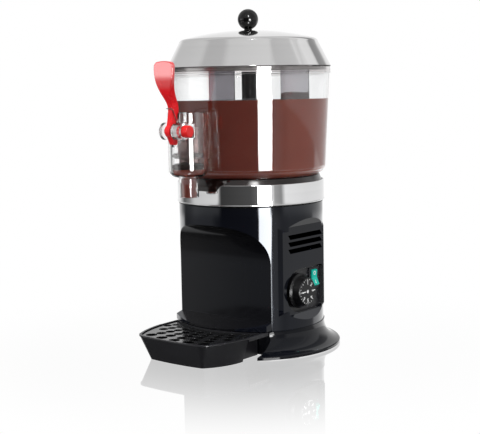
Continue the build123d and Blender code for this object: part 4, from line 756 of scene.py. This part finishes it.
def mould_bowl():
    """Clear bowl and tap in one piece: forms joined, then hollows, slot, port and holes cut."""
    thin, edge = BOWL_WALL_T, BOWL_WALL_T / 2
    centre_r = BOWL_LOW_R - SHOULDER_R
    pivot_y, pivot_z = pivot = LEVER_PIVOT.y / MM, LEVER_PIVOT.z / MM
    neck_angle = -math.degrees(math.acos((BOWL_SKIRT_R - centre_r) / SHOULDER_R))
    outside = arc_points(BOWL_SKIRT_R - edge, BOWL_FLOOR_Z + edge, edge, -90, 0, 6)
    outside += arc_points(centre_r, SHOULDER_Z, SHOULDER_R, neck_angle, 0, 12)
    outside += [(BOWL_HIGH_R, RIM_Z), (RIM_R, RIM_Z + RIM_SLOPE), (RIM_R, BOWL_TOP_Z - RIM_EDGE),
                (RIM_R - RIM_EDGE, BOWL_TOP_Z)]
    bowl = lathe(outside, BOWL_SIDES)
    barrel = arc_points(SPOUT_R - SPOUT_EDGE, SPOUT_LOW_Z + SPOUT_EDGE, SPOUT_EDGE, -90, 0, 3)
    barrel += [(SPOUT_R, TAP_LOW_Z - SPOUT_FILLET), (SPOUT_R + SPOUT_FILLET, TAP_LOW_Z)]
    barrel += arc_points(TAP_R - TAP_ROUND_R, TAP_LOW_Z + TAP_ROUND_R, TAP_ROUND_R, -90, 0, 12)
    barrel += [(TAP_R, TAP_TOP_Z - TAP_EDGE), (TAP_R - TAP_EDGE, TAP_TOP_Z)]
    web = brick(-TAP_WEB_HALF_W, TAP_WEB_HALF_W, TAP_Y, -BOWL_SKIRT_R, TAP_FLOOR_Z + SLIVER,
                TAP_TOP_Z - SLIVER)
    shapes = [lathe(barrel, TAP_SIDES, TAP_Y), web]
    half = LUG_R * LUG_WEB_SHARE
    for left, right in LUG_SPANS:
        shapes.append(bar_along("X", LUG_R, left, right, pivot, LUG_SIDES))
        shapes.append(brick(left + SLIVER, right - SLIVER, pivot_y, TAP_Y, pivot_z - half,
                            pivot_z + half))
    bowl = combine(bowl, "UNION", shapes)
    hollow = [(BOWL_SKIRT_R - thin, BOWL_FLOOR_Z + thin),
              (BOWL_SKIRT_R - thin, SHOULDER_Z - SHOULDER_R + thin)]
    hollow += arc_points(centre_r, SHOULDER_Z, SHOULDER_R - thin, -90, 0, 12)
    hollow += [(BOWL_HIGH_R - thin, RIM_Z), (BOWL_HIGH_R - thin, BOWL_TOP_Z + OVERCUT)]
    bore = [(SPOUT_BORE_R, SPOUT_LOW_Z - OVERCUT), (SPOUT_BORE_R, TAP_FLOOR_Z),
            (TAP_BORE_R, TAP_FLOOR_Z), (TAP_BORE_R, TAP_TOP_Z + OVERCUT)]
    tube = [(TUBE_R, BOWL_FLOOR_Z - OVERCUT), (TUBE_R, BOWL_FLOOR_Z + TUBE_HOLE_H)]
    cuts = [lathe(hollow, BOWL_SIDES), lathe(bore, TAP_SIDES, TAP_Y),
            brick(-SLOT_HALF_W, SLOT_HALF_W, pivot_y, TAP_Y, SLOT_LOW_Z, TAP_TOP_Z + OVERCUT),
            brick(-SLOT_HALF_W, SLOT_HALF_W, pivot_y, TAP_Y - TAP_BORE_R - RELIEF_T,
                  SLOT_LOW_Z - RELIEF_H, SLOT_LOW_Z + OVERCUT),
            lathe(tube, TUBE_SIDES),
            bar_along("Y", PORT_HALF_H, TAP_Y, -BOWL_SKIRT_R, (0, PORT_Z), HOLE_SIDES,
                      PORT_HALF_W / PORT_HALF_H),
            bar_along("X", PIN_R, LUG_SPANS[0][0] - OVERCUT, LUG_SPANS[1][1] + OVERCUT, pivot,
                      HOLE_SIDES)]
    bowl = combine(bowl, "DIFFERENCE", cuts)
    smooth(bowl, BOWL_SMOOTH_ANGLE)
    settle("clear_bowl", "bowl", "clear_plastic")
    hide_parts("bowl", "bowl_foot", "tap_housing", "tap_spout", "tap_duct")


# Turned trim

def turn_neck():
    """Short neck under the ball, waisted, hollow below to sit on the lid's crown."""
    form = [(radius, LID_TOP_Z + height) for radius, height in NECK_FORM]
    crown = [(NECK_CUT_RADII[0], LID_TOP_Z - NECK_CUT_DEPTH)]
    crown += [(r, LID_TOP_Z - r * r / (2 * LID_CROWN_R)) for r in NECK_CUT_RADII]
    hole = [(LID_SCREW_R, LID_TOP_Z - NECK_HOLE_LOW), (LID_SCREW_R, LID_TOP_Z + NECK_HOLE_HIGH)]
    cuts = [lathe(crown, TAP_SIDES), lathe(hole, SCREW_SIDES)]
    neck = combine(lathe(form, TAP_SIDES), "DIFFERENCE", cuts)
    smooth(neck)
    settle("knob_neck", nodes["knob_disc"]["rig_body"], "gloss_black_knob")
    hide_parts("knob_disc")


def mould_seal():
    """Rubber ring under the bowl, with a sunk groove behind the steel edge and a rounded top."""
    outer, inner = BAND_R - SHEET, BOWL_SKIRT_R + SEAL_GAP
    form = [(outer + out, BAND_TOP_Z + up) for out, up in SEAL_GROOVE]
    form += [(inner + out, SEAL_TOP_Z + up) for out, up in SEAL_CROWN]
    hole = [(inner, form[0][1] - OVERCUT), (inner, SEAL_TOP_Z + OVERCUT)]
    seal = combine(lathe(form, BOWL_SIDES), "DIFFERENCE", [lathe(hole, BOWL_SIDES)])
    smooth(seal)
    settle("seal_ring", "base", "seal_rubber")
    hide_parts("bowl_seal")


def turn_ring(name, finish, radius, thick, z):
    """A round ring about the upright axis."""
    start_fresh()
    bpy.ops.mesh.primitive_torus_add(major_segments=BOWL_SIDES, minor_segments=WIRE_SIDES,
                                     major_radius=radius * MM, minor_radius=thick * MM,
                                     location=(0, 0, z * MM))
    bpy.ops.object.shade_smooth()
    settle(name, "base", finish)


def roll_edge():
    """Rolled lower edge of the tank's bright band, and a thin dark ring along the seam below it."""
    turn_ring("rolled_edge", "band_steel", BAND_R - EDGE_SINK, EDGE_R,
              BODY_TOP_Z + EDGE_R)
    # A thin black ring along the seam under the band
    turn_ring("seam_dark_ring", "rubber", BODY_R - SEAM_RING_SINK, SEAM_RING_R, BODY_TOP_Z - SEAM_RING_R)


# Copies of CAD nodes with rounded edges

def copy_node(name):
    """A copy of a CAD node with its flat faces made one, in edit mode with nothing selected."""
    activate(nodes[name])
    bpy.ops.object.duplicate()
    piece = bpy.context.object
    piece.parent = None
    for label in list(piece.keys()):
        del piece[label]
    bpy.ops.mesh.customdata_custom_splitnormals_clear()
    edit_all()
    bpy.ops.mesh.remove_doubles(threshold=MERGE_GAP * MM)
    bpy.ops.mesh.dissolve_limited(angle_limit=math.radians(FLAT_ANGLE))
    bpy.ops.mesh.select_all(action="DESELECT")
    bpy.ops.mesh.select_mode(type="EDGE")
    return piece


def round_sharp(width, segments):
    """Rounds off the sharp edges of the piece in edit mode; its flat faces stay flat to the eye."""
    bpy.ops.mesh.select_all(action="DESELECT")
    bpy.ops.mesh.edges_select_sharp(sharpness=math.radians(SHARP_ANGLE))
    bpy.ops.mesh.bevel(offset=width * MM, segments=segments, affect="EDGES", clamp_overlap=True)
    bpy.ops.object.mode_set(mode="OBJECT")
    bpy.ops.object.shade_smooth_by_angle(angle=math.radians(SHARP_ANGLE))
    bpy.ops.object.modifier_add(type="WEIGHTED_NORMAL")
    modifier = bpy.context.object.modifiers[-1]
    modifier.keep_sharp = True
    bpy.ops.object.modifier_apply(modifier=modifier.name)


def soften_edges(name, finish, width, segments):
    """A copy that stands for a CAD node, its sharp edges rounded off to catch the light."""
    piece = copy_node(name)
    round_sharp(width, segments)
    settle("rounded_" + name, nodes[name]["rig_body"], finish)
    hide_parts(name)


def choose_edges(piece, wanted):
    """Selects the edges whose two ends pass a test, and returns to edit mode."""
    bpy.ops.object.mode_set(mode="OBJECT")
    points = piece.data.vertices
    for edge in piece.data.edges:
        edge.select = wanted(points[edge.vertices[0]].co, points[edge.vertices[1]].co)
    bpy.ops.object.mode_set(mode="EDIT")


def shape_blades():
    """Mixer blades drawn up behind the bowl's rim, with their top corners and edges rounded."""
    piece = copy_node("mixer_blades")
    top, lift = BLADE_TOP_Z * MM, BLADE_LIFT * MM
    choose_edges(piece, lambda a, b: min(a.z, b.z) > top - BLADE_TOP_BAND * MM)
    bpy.ops.transform.translate(value=(0, 0, lift))
    across = BLADE_ACROSS * BLADE_T * MM
    choose_edges(piece, lambda a, b: min(a.z, b.z) > top + lift / 2 and (a - b).length < across)
    bpy.ops.mesh.bevel(offset=BLADE_CORNER_R * MM, segments=6, affect="EDGES", clamp_overlap=True)
    round_sharp(BLADE_EDGE_R, 2)
    settle("rounded_blades", nodes["mixer_blades"]["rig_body"], "smoke_grey_blade")
    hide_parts("mixer_blades")


# Printed marks

def print_text(letter, size, place, columns):
    """A raised printed sign, made a mesh before it is put in place."""
    start_fresh()
    bpy.ops.object.text_add()
    sign = bpy.context.object
    sign.data.body = letter
    sign.data.size = size * MM
    sign.data.extrude = PRINT_DEPTH * MM
    sign.data.offset = size * PRINT_BOLD * MM
    sign.data.align_x = "CENTER"
    sign.data.align_y = "CENTER"
    bpy.ops.object.convert(target="MESH")
    turn = Matrix(columns).transposed().to_4x4()
    turn.translation = place
    sign.matrix_world = turn
    apply_place()
    return sign


def print_bars(inner, outer, width, first, last, count):
    """Printed bars round the dial's axis, clockwise from upright, between two angles."""
    start_fresh()
    bpy.ops.mesh.primitive_cube_add(size=1)
    bar = bpy.context.object
    bar.scale = (2 * PRINT_DEPTH * MM, width * MM, (outer - inner) * MM)
    bar.location = DIAL_CENTRE + Vector((0, 0, (inner + outer) / 2 * MM))
    apply_place()
    edit_all()
    bpy.ops.mesh.bevel(offset=PRINT_EDGE * MM, segments=2, affect="EDGES")
    bpy.ops.mesh.select_all(action="SELECT")
    bpy.ops.transform.rotate(value=math.radians(first), orient_axis="X",
                             center_override=DIAL_CENTRE)
    if count > 1:
        bpy.ops.mesh.spin(steps=count - 1, angle=math.radians(last - first), center=DIAL_CENTRE,
                          axis=(-1, 0, 0), dupli=True)
    bpy.ops.object.mode_set(mode="OBJECT")
    return bar


def print_dial():
    """White scale on the dial: ticks, a line from the middle to the scale's end, numerals, hub."""
    marks = [print_bars(*row) for row in DIAL_BARS]
    for number in range(NUMERALS):
        angle = math.radians(NUMERAL_STEP * number)
        outward = Vector((0, math.sin(angle), math.cos(angle)))
        across = Vector((0, math.cos(angle), -math.sin(angle)))
        spot = DIAL_CENTRE + outward * NUMERAL_R * MM
        columns = (across, outward, Vector((1, 0, 0)))
        marks.append(print_text(str(number + 1), NUMERAL_SIZE, spot, columns))
    start_fresh()
    bpy.ops.mesh.primitive_cylinder_add(vertices=HUB_SIDES, radius=HUB_R * MM,
                                        depth=2 * PRINT_DEPTH * MM, location=DIAL_CENTRE,
                                        rotation=(0, math.radians(90), 0))
    hub = bpy.context.object
    edit_all()
    bpy.ops.mesh.bevel(offset=HUB_EDGE * MM, segments=2, affect="EDGES")
    join(hub, marks)
    settle("dial_scale", "dial", "white_print")


def print_rocker():
    """White signs on the two slanting faces of the rocker."""
    turn = Matrix.Rotation(-math.radians(ROCKER_TILT), 3, "Y")
    marks = []
    for letter, side in (("O", 1), ("I", -1)):
        slope = Vector((ROCKER_RISE * side, 0, ROCKER_HALF_H)).normalized()
        outward = Vector((slope.z, 0, -slope.x))
        depth = ROCKER_DEPTH + ROCKER_RISE * SIGN_Z / ROCKER_HALF_H
        spot = Vector((depth, 0, SIGN_Z * side)) * MM
        columns = (Vector((0, 1, 0)), turn @ slope, turn @ outward)
        marks.append(print_text(letter, SIGN_SIZE, ROCKER_PIVOT + turn @ spot, columns))
    join(marks[0], marks[1:])
    settle("rocker_signs", "rocker", "white_print")


def bend_spring():
    """Return spring: a hook round the lever's front, two coils on the pin and a straight tail."""
    side, front, back = SPRING_SIDE, LEG_FRONT, LEG_BACK
    route = [(-side, front + HOOK_LENGTH, HOOK_Z), (-side, front + HOOK_MIDDLE, HOOK_Z),
             (-side, front, HOOK_Z), (side, front, HOOK_Z),
             (side, front + HOOK_BACK, HOOK_Z - HOOK_DROP), (side, back, BEND_Z),
             (side, back, BEND_Z / 2)]
    for i in range(COIL_POINTS * COIL_TURNS + 1):
        angle = 2 * math.pi * i / COIL_POINTS
        route.append((side + COIL_PITCH * i / COIL_POINTS, COIL_R * math.cos(angle),
                      -COIL_R * math.sin(angle)))
    last = route[-1][0]
    route += [(last, back, TAIL_BEND_Z), (last, back, TAIL_Z)]
    start_fresh()
    bpy.ops.curve.primitive_nurbs_path_add()
    curve = bpy.context.object.data
    curve.splines.clear()
    spline = curve.splines.new("NURBS")
    spline.points.add(len(route) - 1)
    for point, spot in zip(spline.points, route):
        point.co = (*(LEVER_PIVOT + Vector(spot) * MM), 1.0)
    spline.use_endpoint_u = True
    spline.order_u = 3
    spline.resolution_u = 6
    curve.bevel_depth = WIRE_R * MM
    curve.bevel_resolution = 4
    curve.use_fill_caps = True
    bpy.ops.object.convert(target="MESH")
    bpy.ops.object.shade_smooth()
    spring = settle("lever_return_spring", None, "spring_wire")
    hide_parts("lever_spring")
    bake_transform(spring)


# Setting: floor, world and lamps, in metres
WHITE = (1, 1, 1, 1)
FLOOR_R, FLOOR_SIDES, FLOOR_ROUGHNESS = 6.0, 96, 0.03
FLOOR_NEAR, FLOOR_FAR, FLOOR_NEAR_GLOW = 0.16, 0.51, 0.56
LAMP_AIM = Vector((0, 0, 0.25))
LAMPS = (("overhead", (0.0, 0.1, 2.2), 24.0, 2.0), ("front_left", (-0.9, -1.7, 1.5), 26.0, 1.4),
         ("right", (1.8, -0.4, 1.3), 18.0, 1.4))

# What shiny surfaces see, by direction from the camera's side (degrees, to the right positive)
STUDIO_WALLS = ((-180, 1.0), (-150, 1.0), (-128, 0.12), (-112, 0.30), (-98, 0.75), (-54, 0.85),
                (-47, 0.05), (0, 0.09), (11, 0.16), (13, 0.8), (35, 0.9), (37, 0.45), (48, 0.34),
                (55, 1.05), (95, 0.95), (140, 0.95), (180, 1.0))
STUDIO_LOW = ((-180, 1.0), (-150, 1.4), (-137, 1.4), (-131, 0.12), (-119, 0.14), (-108, 0.27),
              (-96, 0.36), (-66, 0.42), (-57, 0.16), (-47, 0.05), (0, 0.07), (11, 0.14), (13, 0.7),
              (35, 0.8), (36, 0.85), (44, 0.62), (52, 0.46), (62, 0.54), (95, 0.50), (111, 0.50),
              (117, 1.5), (160, 1.4), (180, 1.0))
STUDIO_CEILING = ((-180, 1.0), (-165, 0.72), (-140, 0.68), (-92, 0.76), (-79, 0.60), (-52, 0.62),
                  (-38, 0.78), (0, 0.82), (42, 0.86), (50, 0.66), (86, 0.72), (91, 0.94),
                  (97, 0.78), (105, 1.0), (122, 0.96), (127, 0.34), (146, 0.40), (150, 0.95),
                  (166, 0.85), (180, 1.0))
# Rise of the direction (its Z) over which ceiling, low part and ground take over from the walls
CEILING_SPAN, LOW_SPAN = (0.12, 0.36), (-0.122, -0.113)
UNDER_SPAN, UNDER_LIGHT = (-0.46, -0.30), 0.35
# Lit panels: strength, left, right, low and high end, softness of the sides and of the ends.
# A glare on the left, the top light, and a window strip on the right in three lengths
PANELS = ((2.2, -97.0, -68.0, -0.05, 0.10, 5.0, 0.04), (34.0, 1.0, 13.0, 0.40, 0.68, 2.0, 0.02),
          (14.7, 12.3, 34.0, -0.36, -0.237, 1.0, 0.004),
          (42.0, 12.0, 32.7, -0.214, -0.118, 1.0, 0.004),
          (42.0, 10.8, 30.6, -0.118, 0.03, 1.0, 0.004))
ROOM_LIGHT = 0.5


def stage_setting():
    """White floor that keeps a soft reflection of the object and turns plain white further out."""
    start_fresh()
    bpy.ops.mesh.primitive_circle_add(vertices=FLOOR_SIDES, radius=FLOOR_R, fill_type="NGON",
                                      location=(0, 0, 0))
    floor = bpy.context.object
    floor.name = "floor"
    material, tree, shader, place = new_finish("white_floor")
    tree.nodes.remove(shader)
    mirror = add(tree, "ShaderNodeBsdfGlossy")
    feed(mirror.inputs["Color"], WHITE)
    feed(mirror.inputs["Roughness"], FLOOR_ROUGHNESS)
    glow = add(tree, "ShaderNodeEmission")
    length = add(tree, "ShaderNodeVectorMath", operation="LENGTH")
    feed(length.inputs[0], place)
    plain = map_range(tree, length.outputs["Value"], FLOOR_NEAR, FLOOR_FAR, FLOOR_NEAR_GLOW)
    feed(tree.nodes["Material Output"].inputs["Surface"],
         mix_shaders(tree, plain, mirror.outputs[0], glow.outputs[0]))
    floor.data.materials.append(material)
    floor.visible_glossy = False
    floor.visible_diffuse = False


def set_world():
    """A studio for mirror images, white to the camera and through glass, else a soft room."""
    world = bpy.data.worlds.new("studio")
    bpy.context.scene.world = world
    world.use_nodes = True
    tree = world.node_tree
    tree.nodes.clear()
    way = add(tree, "ShaderNodeTexCoord").outputs["Generated"]
    side = math.radians(CAMERA_SIDE)

    def along(vector):
        node = add(tree, "ShaderNodeVectorMath", operation="DOT_PRODUCT")
        feed(node.inputs[0], way)
        feed(node.inputs[1], vector)
        return node.outputs["Value"]

    turn = math_node(tree, "ARCTAN2", along((math.cos(side), math.sin(side), 0)),
                     along((math.sin(side), -math.cos(side), 0)))
    climb = along((0, 0, 1))

    def by_turn(lights):
        ramp = add(tree, "ShaderNodeValToRGB")
        stops = ramp.color_ramp.elements
        while len(stops) < len(lights):
            stops.new(1.0)
        for stop, (angle, light) in zip(stops, lights):
            stop.position = (angle + 180) / 360
            stop.color = (light, light, light, 1)
        feed(ramp.inputs[0], map_range(tree, turn, -math.pi, math.pi, 0, 1, False))
        return ramp.outputs[0]

    def between(value, low, high, soft):
        """One between two values, with soft edges."""
        return all_of(tree, map_range(tree, value, low - soft, low + soft),
                      map_range(tree, value, high - soft, high + soft, 1, 0))

    def background(colour, strength):
        node = add(tree, "ShaderNodeBackground")
        feed(node.inputs["Color"], colour)
        feed(node.inputs["Strength"], strength)
        return node.outputs[0]

    sunk, raised = map_range(tree, climb, *LOW_SPAN, 1, 0), map_range(tree, climb, *CEILING_SPAN)
    walls = blend_colour(tree, sunk, by_turn(STUDIO_WALLS), by_turn(STUDIO_LOW))
    walls = blend_colour(tree, raised, walls, by_turn(STUDIO_CEILING))
    lit = map_range(tree, climb, *UNDER_SPAN, UNDER_LIGHT)
    for strength, left, right, low, high, soft, fade in PANELS:
        sides = between(turn, *(math.radians(angle) for angle in (left, right, soft)))
        lit = math_node(tree, "MULTIPLY_ADD", all_of(tree, sides, between(climb, low, high, fade)),
                        strength, lit)
    path = add(tree, "ShaderNodeLightPath").outputs
    mirrored = math_node(tree, "GREATER_THAN", path["Glossy Depth"], 0.5)
    through = math_node(tree, "SUBTRACT", path["Is Transmission Ray"], mirrored)
    seen = math_node(tree, "MAXIMUM", path["Is Camera Ray"], through)
    around = mix_shaders(tree, mirrored, background(WHITE, ROOM_LIGHT), background(walls, lit))
    feed(add(tree, "ShaderNodeOutputWorld").inputs["Surface"],
         mix_shaders(tree, seen, around, background(WHITE, 1.0)))


def add_lamp(name, place, power, size):
    data = bpy.data.lights.new(name, "AREA")
    data.energy = power
    data.size = size
    lamp = bpy.data.objects.new(name, data)
    bpy.context.scene.collection.objects.link(lamp)
    lamp.location = place
    lamp.rotation_euler = (LAMP_AIM - Vector(place)).to_track_quat("-Z", "Y").to_euler()
    lamp.visible_glossy = False
    lamp.visible_transmission = False


bpy.context.scene.view_settings.view_transform = "Standard"
set_camera()
set_world()
for row in LAMPS:
    add_lamp(*row)
stage_setting()
dress_nodes()
pour_chocolate()
print_dial()
print_rocker()
bend_spring()
mould_bowl()
fill_tap()
turn_neck()
mould_seal()
roll_edge()
shape_blades()
soften_edges("water_tank", "band_steel", 0.7, 3)
soften_edges("lid", "lid_steel", 0.35, 3)
soften_edges("drip_grid", "grid_black", 0.45, 2)
soften_edges("drip_tray", "satin_black", 0.6, 3)
